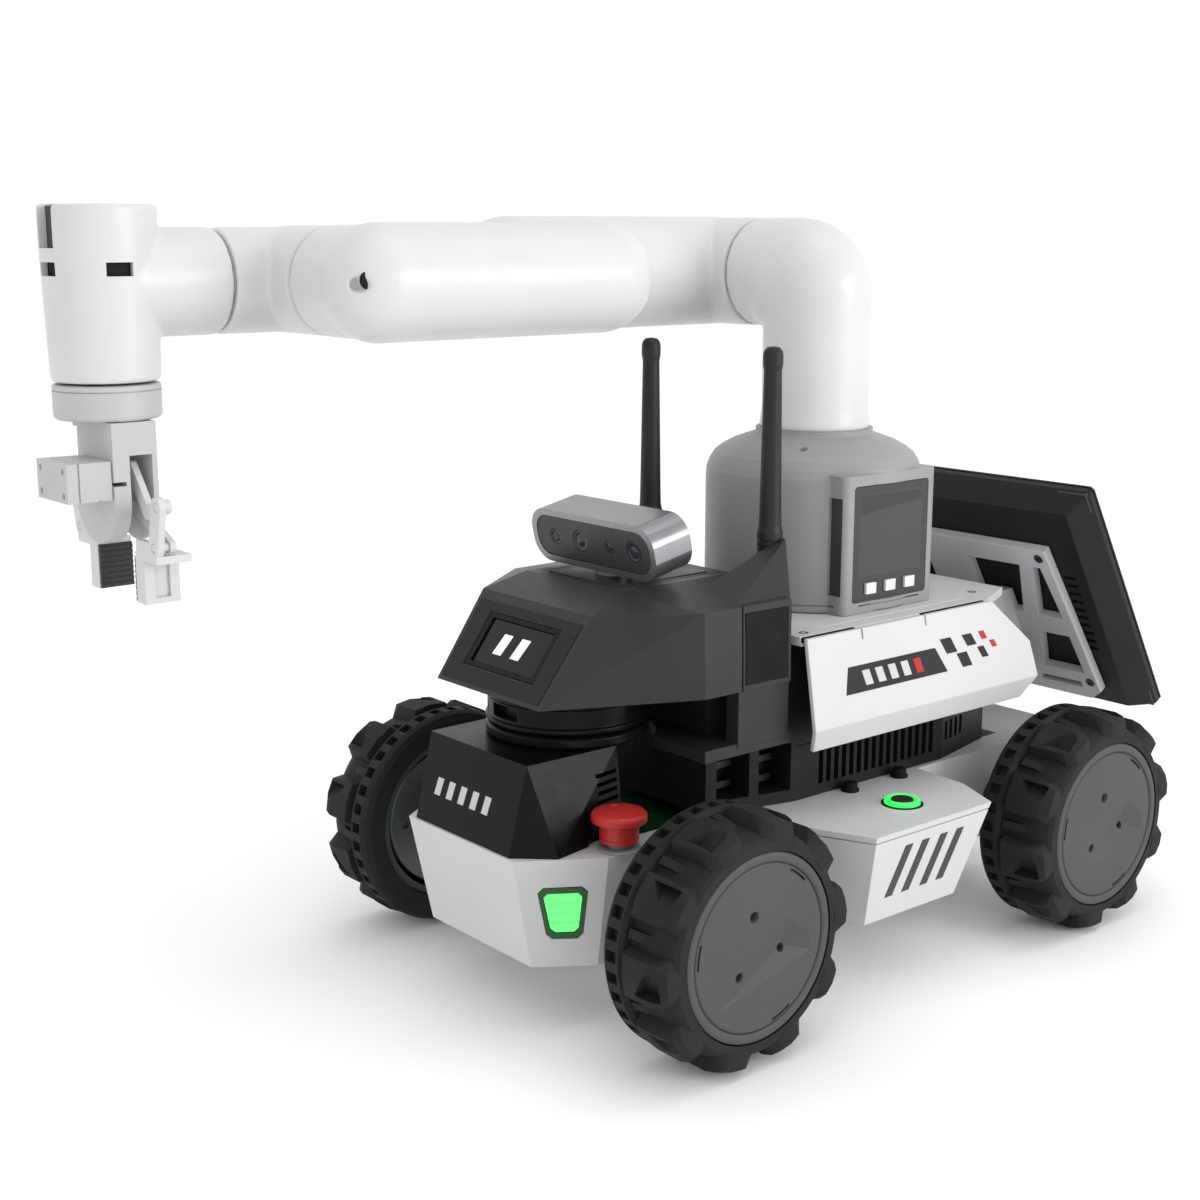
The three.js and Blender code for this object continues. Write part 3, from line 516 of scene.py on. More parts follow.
# ---------------------------------------------------------------- head
head_pts = both([(137, 31, 124.5), (81, 57, 124.5), (38, 57.5, 124.5), (113.6, 33, 155.7), (97, 27, 161.5), (81, 56, 156), (38, 57, 156), (40, 27, 161.5)])
head = hull(head_pts)
for s in (1, -1):
    fin = hull(flip([(68, 55.5, 154), (68, 36, 158), (38, 57, 152), (27, 30, 152), (27, 30, 158), (25.5, 41, 175), (25.5, 38.5, 175), (29, 43, 172)], s))
    leg = box(38, 64, *sorted((s * 50, s * 56.5)), 103, 125)
    shelf = box(36, 80, *sorted((0, s * 56)), 100, 104.6)
    head = join(head, fin, leg, shelf)
wide = hull(both([(x + math.copysign(0.5, x), y + 0.5, z) for x, y in CORE for z in (90, 136.6)]))
head = cut(head, rod("z", LX, 0, 33.5, 90, 124.4, 96), wide)
for s in (1, -1):
    head = cut(head, rod("z", 27.5, s * 34.5, 5.5, 158.5, 180, 48))
FN = (0.8, 0.0, 0.6)


def face(y, t, o):
    p = mix((137, 0, 124.5), (113.6, 0, 155.7), t)
    return (p[0] + FN[0] * o, y, p[2] + FN[2] * o)


def face_block(w, t0, t1, o0, o1, c=0.0, slant=0.0):
    pts = []
    for o in (o0, o1):
        for y, t in ((-w, t0), (w, t0), (w, t1), (-w, t1)):
            pts.append(face(y + c + slant * (t - t0), t, o))
    return hull(pts)


head = cut(head, face_block(21, 0.22, 0.8, -1.8, 4))
# shut lines: side panel, top plate and the rear edge of the side facet
for s in (1, -1):
    head = cut(head, box(62.4, 63.0, *sorted((s * 55.4, s * 60)), 124, 157), hull(flip([(x, y, z) for x in (42, 92) for y in (22.5, 23.1) for z in (160.8, 163)], s)))
piece(head, "head_cover", "chassis", M["charcoal_plastic"], ["head_shell"], bevel=0.8)
for side, s in (("left", 1), ("right", -1)):
    # darker inlay on the rear of each side
    plate = hull(flip([(61.4, 57.55, 126.5), (39.5, 57.8, 126.5), (61.4, 56.95, 153.5), (39.5, 57.35, 153.5),
                       (61.4, 56.0, 126.5), (39.5, 56.0, 126.5), (61.4, 55.5, 153.5), (39.5, 55.5, 153.5)], s))
    piece(plate, "head_side_inlay_" + side, "chassis", M_DEEP, bevel=0.25)
top = hull([(46, -20, 161.3), (92, -20, 161.3), (92, 20, 161.3), (46, 20, 161.3), (46, -20, 161.85), (92, -20, 161.85), (92, 20, 161.85), (46, 20, 161.85)])
piece(top, "head_top_inlay", "chassis", M_INK, bevel=0.2)
mask = cut(hull([face(y, t, o) for o in (-0.4, 0.25) for y, t in ((-29.4, 0.05), (29.4, 0.05), (30.6, 0.9), (-30.6, 0.9))]), face_block(21.3, 0.21, 0.81, -3, 4))
piece(mask, "head_face_mask", "chassis", M["dark_plastic"], bevel=0.2)
bez = cut(face_block(20.8, 0.225, 0.795, -1.75, -0.1), face_block(18.4, 0.275, 0.745, -1.2, 3))
piece(bez, "eye_bezel", "chassis", M["black_gloss"], bevel=0.2)
scr = face_block(18.3, 0.28, 0.74, -1.7, -0.9)
piece(scr, "eye_display", "chassis", M["dark_glass"], ["eye_screen"], bevel=0.15)
for k, c in enumerate((-7.0, 3.6)):
    bar = face_block(2.5, 0.40, 0.62, -0.95, -0.72, c=c, slant=7.0)
    piece(bar, "eye_bar_%d" % (k + 1), "chassis", M_EYE, bevel=0.5, seg=3, angle=40)

# ---------------------------------------------------------------- depth camera
TILT = Matrix.Translation((77, -1.5, 175.8)) @ Matrix.Rotation(math.radians(12), 4, "Y")


def tilt(o):
    return moved(o, TILT)


cam = cut(prism("x", round_rect(0, 0, 72, 21.5, 9, 10), -9, 9), prism("x", round_rect(0, 0, 66.4, 16.4, 7, 10), 7.6, 12))
for k in range(9):
    cam = cut(cam, box(-10, -7.8, -18 + 4.2 * k, -16.4 + 4.2 * k, -6, 6))
cam = tilt(cam)
cam = join(cam, rod("z", 76, 0, 7, 161.9, 170, 48))
piece(cam, "camera_case", "chassis", M["silver_metal"], ["camera_body"], bevel=0.9)
fr = prism("x", round_rect(0, 0, 66, 16, 6.8, 10), 7.8, 8.8)
for y, r in ((24, 4.3), (10, 2.4), (-7, 4.3), (-22, 3.2)):
    fr = cut(fr, rod("x", y, 0, r, 8.2, 12, 40))
fr = tilt(fr)
piece(fr, "camera_window", "chassis", finish("camera_window_grey", 0x37383A, 0.30, metal=0.1, vary=0.06, bump=0.05, spec=0.3), ["camera_front"], bevel=0.2)
for k, (y, r) in enumerate(((24, 4.3), (10, 2.4), (-7, 4.3), (-22, 3.2))):
    lens = turned("x", y, 0, [(0, 8.0), (r - 0.15, 8.0), (r - 0.15, 8.55), (r * 0.72, 8.6), (r * 0.66, 8.3), (r * 0.4, 8.5), (0, 8.62)], 48)
    piece(tilt(lens), "camera_lens_%d" % (k + 1), "chassis", M_LENS, bevel=0.04, seg=1)

# ---------------------------------------------------------------- antennas
for side, s in (("left", 1), ("right", -1)):
    prof = [(0, 158.8), (5, 158.8), (5, 163), (4.7, 163.3), (4.7, 164.2), (5, 164.5), (5, 177), (4.4, 179.5), (4.2, 186)]
    prof += [(4.2 - 0.1 * i, 186 + 6.5 * i) for i in range(1, 9)]
    prof += [(3.7, 239.6), (3.85, 240.6), (3.85, 244.0), (3.5, 245.5), (2.4, 246.8), (0, 247.2)]
    a = turned("z", 27.5, s * 34.5, prof, 48)
    grooves = [tube("z", 27.5, s * 34.5, 4.55, 6, z, z + 0.6, 48) for z in (167, 169.2, 171.4, 173.6)]
    a = cut(a, *grooves)
    piece(a, "antenna_rod_" + side, "chassis", M["antenna_black"], ["antenna_" + side], bevel=0.2)

# ---------------------------------------------------------------- deck and doors
deck = prism("z", [(33, -58), (33, 58), (-76, 58), (-102, 46), (-102, -46), (-76, -58)], 136.9, 140.4)
tools = [box(22, 36, -29, 29, 130, 145)]
for s in (1, -1):
    # dark gaps either side of the hinge block
    tools += [box(4, 34, *sorted((s * 56.9, s * 59)), 138.2, 142), box(-74, -34, *sorted((s * 56.9, s * 59)), 138.2, 142)]
    tools += [hull([(x + dx, s * y, z) for x, y in ((6, 57), (9, 46)) for dx in (0, 0.7) for z in (139.9, 142)])]
    tools += [box(-70, 14, *sorted((s * 49.7, s * 50.3)), 139.9, 142)]
deck = cut(deck, *tools)
piece(deck, "deck_plate", "chassis", M["white_plastic"], ["top_deck"], bevel=0.5)
# painted shade: near-black strips fill the gaps either side of the hinge block
for side, s in (("left", 1), ("right", -1)):
    for k, (x0, x1) in enumerate(((4.2, 32.4), (-73.8, -34.2))):
        piece(box(x0, x1, *sorted((s * 56.95, s * 58.25)), 138.3, 140.3), "deck_gap_shade_%s_%d" % (side, k + 1), "chassis", M_DEEP, bevel=0.1, seg=1)
for i, (x, y) in enumerate(((26, 52), (26, -52), (-84, 44), (-84, -44), (-94, 0))):
    screw("z", x, y, 2.2, 140.15, 1, "chassis", "deck_screw_%d" % (i + 1))


def lean(z):
    return 58.7 + ((140.4 - z) / 34.4) * 6.6


for side, s in (("left", 1), ("right", -1)):
    def sheet(rim):
        return hull(flip([p for x, y, z in rim for p in ((x, y, z), (x, y + 2, z))], s))
    upper = sheet([(33, lean(140.2), 140.2), (-76, lean(140.2), 140.2), (-98, lean(121), 121), (-101, lean(106), 106), (34, lean(106), 106)])
    lip = sheet([(34, lean(106), 106), (-101, lean(106), 106), (-93, 62.4, 97.2), (32, 62.4, 97.2)])
    door = join(upper, lip)

    def on_door(x, z, o):
        return (x, s * (lean(z) + 2 + o), z + 0.19 * o)
    body = "door_" + side[0]
    # hinge reliefs at the top edge
    door = cut(door, box(2.6, 3.4, *sorted((s * 57, s * 62)), 136, 142), box(-34.4, -33.6, *sorted((s * 57, s * 62)), 136, 142))
    piece(door, "door_panel_" + side, body, M["white_plastic"], ["door_" + side], bevel=0.55)

    def decal(name, outline, mat, up=0.16):
        o = hull([on_door(x, z, d) for x, z in outline for d in (-0.4, up)])
        piece(o, name + "_" + side, body, mat, bevel=0.06, seg=1)
    decal("door_plate", [(13.1, 126.8), (-37.6, 126.8), (-43.8, 116.6), (15.6, 116.6)], M_INK)
    decal("door_mark_1", [(-41.0, 129.6), (-47.6, 129.6), (-51.0, 123.4), (-44.5, 123.4)], M_INK)
    decal("door_mark_2", [(-50.4, 122.6), (-56.6, 122.6), (-59.4, 116.8), (-53.4, 116.8)], M_INK)
    decal("door_mark_3", [(-54.6, 129.4), (-60.4, 129.4), (-63.4, 124.6), (-57.6, 124.6)], M_INK)
    decal("door_mark_4", [(-63.4, 123.4), (-67.4, 123.4), (-70.2, 118.8), (-66.2, 118.8)], M_INK)
    decal("door_mark_5", [(-65.0, 129.4), (-68.4, 129.4), (-70.4, 126.0), (-67.0, 126.0)], M_RED_INK)
    decal("door_mark_6", [(-71.4, 125.0), (-74.4, 125.0), (-76.2, 122.0), (-73.2, 122.0)], M_RED_INK)
    # pale strokes on the dark plate, where the photographed panel has its writing
    for k in range(5):
        x = 6.0 - 7.4 * k
        decal("door_stroke_%d" % (k + 1), [(x, 124.6), (x - 4.2, 124.6), (x - 6.0, 118.8), (x - 1.8, 118.8)], M_RED_INK if k == 4 else M_PALE_INK, 0.32)

# ---------------------------------------------------------------- rear screen
SC_TOP = (-119, 185.5)
SC_DIR = (-0.5151, -0.8571)
SC_OUT = (-0.8571, 0.5151)


def scp(u, v, y):
    return (SC_TOP[0] + SC_DIR[0] * u + SC_OUT[0] * v, y, SC_TOP[1] + SC_DIR[1] * u + SC_OUT[1] * v)


def slab(u0, u1, v0, v1, y0, y1):
    return hull([scp(u, v, y) for u in (u0, u1) for v in (v0, v1) for y in (y0, y1)])


def uv_prism(outline, v0, v1):
    bm = bmesh.new()
    a = [bm.verts.new(scp(u, v0, y)) for y, u in outline]
    b = [bm.verts.new(scp(u, v1, y)) for y, u in outline]
    n = len(outline)
    bm.faces.new(a)
    bm.faces.new(b)
    for i in range(n):
        bm.faces.new((a[i], a[(i + 1) % n], b[(i + 1) % n], b[i]))
    return wrap(bm)


housing = hull(both([scp(0, 0, 75.5), scp(1.5, 0, 77), scp(118.4, 0, 75.5), scp(116.9, 0, 77), scp(0, -4, 75.5), scp(1.5, -4, 77), scp(118.4, -4, 75.5), scp(116.9, -4, 77), scp(6, -14, 70), scp(112.4, -14, 70)]))
housing = cut(housing, slab(4, 114.4, -2, 4, -72, 72))
tools = []
for k in range(10):
    tools.append(slab(40 + 4.4 * k, 41.8 + 4.4 * k, -15, -12.6, -64, -58))
    tools.append(slab(40 + 4.4 * k, 41.8 + 4.4 * k, -15, -12.6, 58, 64))
tools.append(cut(slab(-5, 125, -1.6, -1.1, -80, 80), slab(0.6, 117.8, -3, 0, -76.4, 76.4)))
housing = cut(housing, *tools)
piece(housing, "screen_case", "chassis", M["dark_plastic"], ["screen_housing"], bevel=0.8)
glass = slab(4.3, 114.1, -1.7, -0.4, -71.7, 71.7)
glass = cut(glass, cut(slab(8, 110.4, -0.6, 1, -68, 68), slab(8.5, 109.9, -1, 2, -67.5, 67.5)))
piece(glass, "screen_pane", "chassis", M["dark_glass"], ["screen_glass"], bevel=0.3)

br = uv_prism([(-56, 24), (56, 24), (61, 103), (55, 108), (-55, 108), (-61, 103)], -18.5, -14.3)
for s in (1, -1):
    br = cut(br, uv_prism([(s * 12, 34), (s * 40, 34), (s * 33, 62), (s * 12, 62)], -20, -13),
             uv_prism([(s * 47, 34), (s * 51, 34), (s * 54, 62), (s * 41, 62)], -20, -13),
             uv_prism([(s * 39, 72), (s * 54, 72), (s * 55.5, 93), (s * 34, 93)], -20, -13),
             uv_prism([(s * 30, 99), (s * 52, 99), (s * 52, 102), (s * 30, 102)], -20, -13))
    armp = [scp(52, -15, 0), scp(76, -15, 0), scp(76, -19, 0), (-101, 0, 112), (-101, 0, 132), scp(52, -19, 0)]
    br = join(br, hull([(p[0], y, p[2]) for p in armp for y in sorted((s * 22, s * 28))]))
br = join(br, box(-103.5, -100.3, -32, 32, 108, 135.5))
piece(br, "screen_mount_frame", "chassis", M["bracket_grey"], ["screen_bracket"], bevel=0.7)
SC_FRAME = Matrix(((0, SC_DIR[0], SC_OUT[0], SC_TOP[0]), (1, 0, 0, 0), (0, SC_DIR[1], SC_OUT[1], SC_TOP[1]), (0, 0, 0, 1)))


def on_screen(o):
    """Local x along y, local y down the face, local z out of it."""
    o.data.transform(SC_FRAME)
    bm = bmesh.new()
    bm.from_mesh(o.data)
    bmesh.ops.recalc_face_normals(bm, faces=bm.faces)
    bm.to_mesh(o.data)
    bm.free()
    return o


for k, (y, u) in enumerate(((-52, 28.5), (52, 28.5), (-57, 98), (57, 98))):
    sc = turned("z", y, u, [(0, -18.2), (2.2, -18.2), (2.2, -18.75), (1.7, -19.05), (0, -19.05)], 28)
    sc = cut(sc, prism("z", [(y + 1.0 * math.cos(math.pi / 3 * i), u + 1.0 * math.sin(math.pi / 3 * i)) for i in range(6)], -19.5, -18.6))
    piece(on_screen(sc), "mount_screw_%d" % (k + 1), "chassis", M_STEEL, bevel=0.07, seg=1)
# corner clips that hold the pane
for k, (y, u) in enumerate(((-1, 0), (1, 0), (-1, 1), (1, 1))):
    y0, y1 = sorted((y * 62, y * 76.2))
    u0, u1 = (0.6, 10) if u == 0 else (108.4, 117.8)
    clip = cut(slab(u0, u1, -5.6, -3.2, y0, y1), slab(*((3.4, 12) if u == 0 else (106, 115)), -8, 0, *sorted((y * 55, y * 73.0))))
    piece(clip, "corner_clip_%d" % (k + 1), "chassis", M_SOFT_GREY_AND_SHADE, bevel=0.3)

# ---------------------------------------------------------------- emergency stop, power button
eb = join(turned("z", 112, 45.6, [(0, 72.7), (8, 72.7), (8, 73.1), (7.6, 73.4), (0, 73.4)], 64), rod("z", 112, 45.6, 4, 73.2, 79))
piece(eb, "stop_collar", "chassis", M["light_grey"], ["estop_base"], bevel=0.12)
es = turned("z", 112, 45.6, [(0, 75.6), (7.2, 75.6), (7.2, 82.4), (7.5, 82.75), (9.6, 82.8), (10.1, 83.2), (10.2, 83.8), (10.2, 85.2), (9.9, 86.0), (9.2, 86.5), (7.4, 87.0), (4, 87.4), (0, 87.6)], 72)
es = cut(es, rod("z", 112, 45.6, 4.3, 75, 81.5), tube("z", 112, 45.6, 6.9, 8.2, 77.0, 77.4, 64))
# raised turn marks on the crown
marks = []
for k in range(3):
    a0 = math.radians(120 * k)
    pts = []
    for a in (a0, a0 + 0.55):
        for r in (4.4, 5.6):
            for z in (86.2, 87.6):
                pts.append((112 + r * math.cos(a), 45.6 + r * math.sin(a), z))
    marks.append(hull(pts))
es = join(es, *marks)
piece(es, "stop_mushroom", "estop", M["red_plastic"], ["estop_button"], bevel=0.25)
ring = turned("z", -5, 77, [(4.8, 72.7), (7, 72.7), (7, 73.7), (6.6, 74.3), (6, 74.6), (5.2, 74.4), (4.8, 74)], 64)
piece(ring, "power_halo", "chassis", finish("power_halo_green", 0x30E455, 0.3, vary=0.08, emit=1.1), ["power_ring"], bevel=0.1)
pb = turned("z", -5, 77, [(0, 73.5), (4.4, 73.5), (4.4, 74.3), (4.1, 74.6), (2.8, 74.55), (1.4, 74.3), (0, 74.2)], 48)
piece(pb, "power_key", "power", M["charcoal_plastic"], ["power_button"], bevel=0.1)
seat = turned("z", -5, 77, [(7.1, 72.45), (8.2, 72.45), (8.2, 72.75), (7.1, 72.9)], 64)
piece(seat, "power_seat", "chassis", M_DEEP, bevel=0.05, seg=1)

# ---------------------------------------------------------------- wheels, drawn once about the axle, outboard along +Y
R_T = 46.0
prof = [(34.35, 74), (41.2, 74), (43.6, 75.0), (44.8, 76.8), (44.8, 83.4), (43.2, 84.6), (40.8, 85.2), (40.6, 87), (40.6, 98.5), (39.9, 102), (38.8, 104.6), (37.4, 105.9), (34.35, 106)]
tyre = turned("y", 0, 0, prof, 120)
N_LUG = 10


def polar(a, r, y):
    return (r * math.cos(a), y, r * math.sin(a))


lugs = []
for i in range(N_LUG):
    a = 2 * math.pi * i / N_LUG
    w0, w1 = math.radians(12.6), math.radians(9.8)
    block = []
    for d, r, y in ((-w0, 40.2, 85.6), (w0, 40.2, 85.6), (-w1, 45.7, 86.8), (w1, 45.7, 86.8), (0, 45.98, 86.8),
                    (-w1, 45.8, 98.4), (w1, 45.8, 98.4), (0, 45.98, 98.4), (-w1 * 0.9, 44.9, 102.4), (w1 * 0.9, 44.9, 102.4), (0, 45.1, 102.6),
                    (-w1 * 0.62, 42.6, 105.9), (w1 * 0.62, 42.6, 105.9), (0, 42.8, 106.2), (-w1 * 0.3, 36.6, 106.2), (w1 * 0.3, 36.6, 106.2),
                    (-w0, 39.4, 103.4), (w0, 39.4, 103.4), (-w0 * 0.6, 36.2, 105.4), (w0 * 0.6, 36.2, 105.4), (-w0, 38.4, 88), (w0, 38.4, 88)):
        block.append(polar(a + d, r, y))
    lugs.append(hull(block))
tyre = join(tyre, *lugs)
tools = []
for i in range(N_LUG):
    a = 2 * math.pi * i / N_LUG
    if i % 2 == 0:
        # a deep wedge pocket in every second lug
        p = [polar(a + math.radians(d), r, y) for d, r, y in ((-7.0, 47.5, 91.5), (7.4, 47.5, 99.0), (-7.0, 46.4, 105.0), (6.4, 46.9, 104.2), (-7.0, 41.2, 94.0), (-7.0, 40.6, 101.8), (6.0, 45.0, 100.4))]
    else:
        p = [polar(a + math.radians(d), r, y) for d, r, y in ((7.6, 47.5, 90.5), (-3.5, 47.5, 98.8), (7.6, 45.6, 104.4), (-3.0, 46.6, 103.0), (7.6, 41.6, 93.0), (7.6, 41.0, 101.4))]
    tools.append(hull(p))
for i in range(36):
    # pits between the fine cross ribs of the inner tread
    a = 2 * math.pi * (i + 0.5) / 36
    h = math.radians(2.7)
    tools.append(hull([polar(a + d, r, y) for d in (-h, h) for r, y in ((41.9, 77.6), (41.9, 82.0), (47, 77.0), (47, 82.6))]))
tyre = cut(tyre, *tools)
ribs = [hull([polar(2 * math.pi * (i + 0.5) / N_LUG + math.radians(d), r, y) for d in (-2.2, 2.2) for r, y in ((40.2, 85), (43.2, 85.8), (42.2, 92), (40.2, 96))]) for i in range(N_LUG)]
tyre = join(tyre, *ribs)

cap = turned("y", 0, 0, [(0, 100.3), (31.2, 100.3), (31.2, 76), (34, 76), (34, 105.1), (33.6, 105.8), (32.6, 106.1), (31.2, 106.05), (30.5, 105.6), (30.25, 105.0), (29.9, 105.5), (29.4, 105.75), (0, 105.75)], 96)
tools = [rod("y", 0, 0, 4.15, 98, 103.3, 32)]
for a in (104, 224, 344):
    x, z = -12.3 * math.cos(math.radians(a)), 12.3 * math.sin(math.radians(a))
    tools.append(turned("y", x, z, [(0, 101.8), (1.5, 101.8), (1.6, 103.8), (2.3, 106.5), (0, 106.5)], 24))
cap = cut(cap, *tools)


def disc_pt(u, v, d):
    # u to the photographed right (towards the tail), v up
    return (-u, 105.75 - d, v)


pocket = hull([disc_pt(*p) for p in ((-21.3, -19.3, -0.2), (25.5, -7.2, -0.2), (12.0, -2.4, 2.5), (-4, -10.9, 1.35), (-22, -13, -0.1), (-12, -2, -0.1), (0, 7, -0.1), (13, 8.5, -0.1), (24.5, 0, -0.1))])
cap = cut(cap, pocket)
tools = []
for mid in (172, 52, 292):
    pts_o, pts_i = [], []
    for k in range(7):
        a = math.radians(mid - 9 + 18 * k / 6)
        pts_o.append((-29.2 * math.cos(a), 29.2 * math.sin(a)))
        pts_i.append((-28.3 * math.cos(a), 28.3 * math.sin(a)))
    tools.append(prism("y", pts_o + pts_i[::-1], 104.2, 107))
cap = cut(cap, *tools)
motor = join(turned("y", 0, 0, [(0, 78), (28.7, 78), (29.5, 78.8), (29.5, 97.5), (28.7, 98.3), (0, 98.3)], 72), rod("y", 0, 0, 6.5, 36.5, 79, 40), rod("y", 0, 0, 4, 97.3, 102.7, 32))
motor = cut(motor, *[rod("y", 22 * math.cos(math.radians(a)), 22 * math.sin(math.radians(a)), 1.7, 77, 80.4, 20) for a in range(0, 360, 60)], tube("y", 0, 0, 28.9, 31, 87.6, 88.4, 72))

for tag, x, s, turn in (("fl", WHEEL_X, 1, 4), ("fr", WHEEL_X, -1, 21), ("rl", -WHEEL_X, 1, 12), ("rr", -WHEEL_X, -1, 30)):
    mv = Matrix.Translation((x, 0, WHEEL_Z))
    if s < 0:
        mv = mv @ Matrix.Scale(-1, 4, (0, 1, 0))
    spin = Matrix.Rotation(math.radians(turn), 4, "Y")
    piece(moved(copy(tyre), mv @ spin), "tyre_" + tag + "_rubber", "wheel_" + tag, M["tyre_rubber"], ["tyre_" + tag], bevel=0.35, seg=2, angle=14)
    piece(moved(copy(cap), mv), "cap_" + tag + "_disc", "wheel_" + tag, M["hub_grey"], ["hub_cap_" + tag], bevel=0.25, seg=2)
    piece(moved(copy(motor), mv), "motor_" + tag + "_can", "chassis", M["motor_metal"], ["hub_motor_" + tag], bevel=0.3, seg=2)
    for k, a in enumerate((104, 224, 344)):
        px, pz = -12.3 * math.cos(math.radians(a)), 12.3 * math.sin(math.radians(a))
        sc = turned("y", px, pz, [(0, 101.9), (1.45, 101.9), (1.45, 102.8), (1.2, 103.1), (0, 103.1)], 20)
        sc = cut(sc, prism("y", [(px + 0.7 * math.cos(math.pi / 3 * i), pz + 0.7 * math.sin(math.pi / 3 * i)) for i in range(6)], 102.5, 105))
        piece(moved(sc, mv), "cap_screw_%s_%d" % (tag, k + 1), "wheel_" + tag, M_DEEP, bevel=0.06, seg=1)
for o in (tyre, cap, motor):
    drop(o)

# ---------------------------------------------------------------- arm base
AX = -32.0
AZ = 272.3
prof = [(0, 140.6), (43.9, 140.6), (44.5, 141.2), (44.5, 190), (44.2, 193.6), (43, 197), (41, 200.2), (38, 202.5), (33.5, 204.9), (29, 206.5), (26.4, 207.4), (24.5, 208), (24.1, 208.8), (24, 210.2), (0, 210.2)]
hb = turned("z", AX, 0, prof, 120)
hb = join(hb, prism("z", round_rect(AX, 21, 54, 44.8, 3.2, 8), 140.6, 195.7))
hb = cut(hb, box(AX - 24, AX + 24, -24, 24, 139, 192), rod("z", AX, 0, 12.3, 190, 215, 64),
         prism("y", round_rect(AX, 168.2, 44, 46.6, 1.6, 6), 42.2, 47), box(AX + 25, AX + 29, 35, 41.5, 148, 187))
hb = cut(hb, tube("z", AX, 0, 43.9, 47, 143.4, 144.0, 120), rod("z", AX + 27, 20, 1.7, 203, 210, 28), rod("z", AX - 27, 20, 1.7, 203, 210, 28))
# vents on the back of the base
hb = cut(hb, *[box(AX - 14 + 4 * k, AX - 12.2 + 4 * k, -50, -41.5, 152, 170) for k in range(8)])
piece(hb, "arm_base_cover", "chassis", M["light_grey"], ["arm_base_housing"], bevel=0.7)
pn = prism("y", round_rect(AX, 168.25, 43.4, 45.9, 1.4, 6), 42.4, 43.2)
keyx = {"a": 11.5, "b": 0.0, "c": -11.5}
pn = cut(pn, *[box(AX + i - 3.2, AX + i + 3.2, 40, 46, 147.7, 152.7) for i in keyx.values()])
piece(pn, "arm_panel_glass", "chassis", M_SCREEN, ["arm_base_screen"], bevel=0.2)
disp = prism("y", round_rect(AX, 171.5, 37, 33, 1.0, 4), 43.1, 43.24)
piece(disp, "arm_panel_display", "chassis", finish("display_face", 0x323334, 0.18, vary=0.06, bump=0.01, coat=0.1, spec=0.4), bevel=0.04, seg=1)
band = hull([(AX + x, y, z) for x, z in ((-18, 187.4), (18, 187.4), (18, 180), (-18, 183.6)) for y in (43.15, 43.27)])
piece(band, "arm_panel_band", "chassis", finish("display_band", 0x1E1F20, 0.14, vary=0.06, bump=0.01, coat=0.1, spec=0.4), bevel=0.03, seg=1)
for k, i in keyx.items():
    key = cut(box(AX + i - 2.9, AX + i + 2.9, 42.9, 44.2, 148, 152.4), box(AX + i - 2.0, AX + i + 2.0, 44.0, 45, 148.9, 151.5))
    piece(key, "panel_key_" + k, "key_" + k, M["key_white"], ["arm_button_" + k], bevel=0.25)

# ---------------------------------------------------------------- arm links
Y_OUT, Y_IN, Y_SEAM = -62.0, -7.0, -32.0
X2, X3, X4, X6 = AX, 78.4, 174.4, 247.0
B1 = 9.0


def bend(x, y, z, q, r, steps=16, n=72):
    rings = []
    for k in range(steps + 1):
        t = (k / steps) * math.pi / 2
        ring_ = []
        for i in range(n):
            a = 2 * math.pi * i / n
            d = q + r * math.sin(a)
            ring_.append((x + r * math.cos(a), y + d * math.cos(t), z + d * math.sin(t)))
        rings.append(ring_)
    parts = [hull(rings[k] + rings[k + 1]) for k in range(steps)]
    return join(parts[0], *parts[1:])


l1 = join(turned("z", X2, 0, [(0, 209.6), (22.5, 209.6), (22.7, 210.6), (22.5, 213), (21.9, 217), (21.8, 220), (21.8, AZ - B1 + 0.5), (0, AZ - B1 + 0.5)]),
          bend(X2, -B1, AZ - B1, B1, 21.9), rod("y", X2, AZ, 22.2, -31.6, -B1 + 0.5, 96), ball(X2, -11, AZ - 3.2, 23.2))
organic(l1, "arm_link_1", "link1", M["arm_white"], ["link1_elbow"])
l2 = join(rod("x", Y_OUT, AZ, 22.7, X2, X3, 96), ball(X2, Y_OUT, AZ, 22.75, 96), ball(X3, Y_OUT, AZ, 22.75, 96),
          rod("y", X2, AZ, 22.3, Y_OUT, -32.4, 96), rod("y", X3, AZ, 20.7, Y_OUT, -32.4, 96))
organic(l2, "arm_link_2", "link2", M["arm_white"], ["link2_arm"])
l3 = join(rod("x", Y_IN, AZ, 20.1, X3, X4, 96), ball(X3, Y_IN, AZ, 20.2, 96), ball(X4, Y_IN, AZ, 20.2, 96),
          rod("y", X3, AZ, 20.4, -31.6, Y_IN - 2, 96), rod("y", X4, AZ, 19.3, -33, Y_IN, 96))
l3 = cut(l3, rod("y", X4 + 15, AZ, 2.3, 1.5, 15, 40))
organic(l3, "arm_link_3", "link3", M["arm_white"], ["link3_arm"], voxel=0.9)
l4 = join(rod("y", X4, AZ, 19.1, Y_OUT - 2, -33.8, 96), ball(X4, Y_OUT - 2, AZ, 19.0, 96), rod("x", Y_OUT - 2, AZ, 18.5, X4, 205.8, 96))
organic(l4, "arm_link_4", "link4", M["arm_white"], ["link4_wrist"])
l5 = join(rod("x", Y_OUT - 2, AZ, 18.5, 206.6, X6, 96), turned("z", X6, Y_OUT - 2, [(0, 239.9), (18.1, 239.9), (19.4, 285), (19.4, 298.2), (0, 298.2)], 96))
l5 = organic(l5, "arm_link_5", "link5", M["arm_white"], ["link5_wrist_head"], voxel=0.9, keep=0.5)
# the openings of the wrist head are cut after the skin is faired, so their rims stay crisp


def mm_tool(o):
    o.data.transform(SHIFT)
    return o


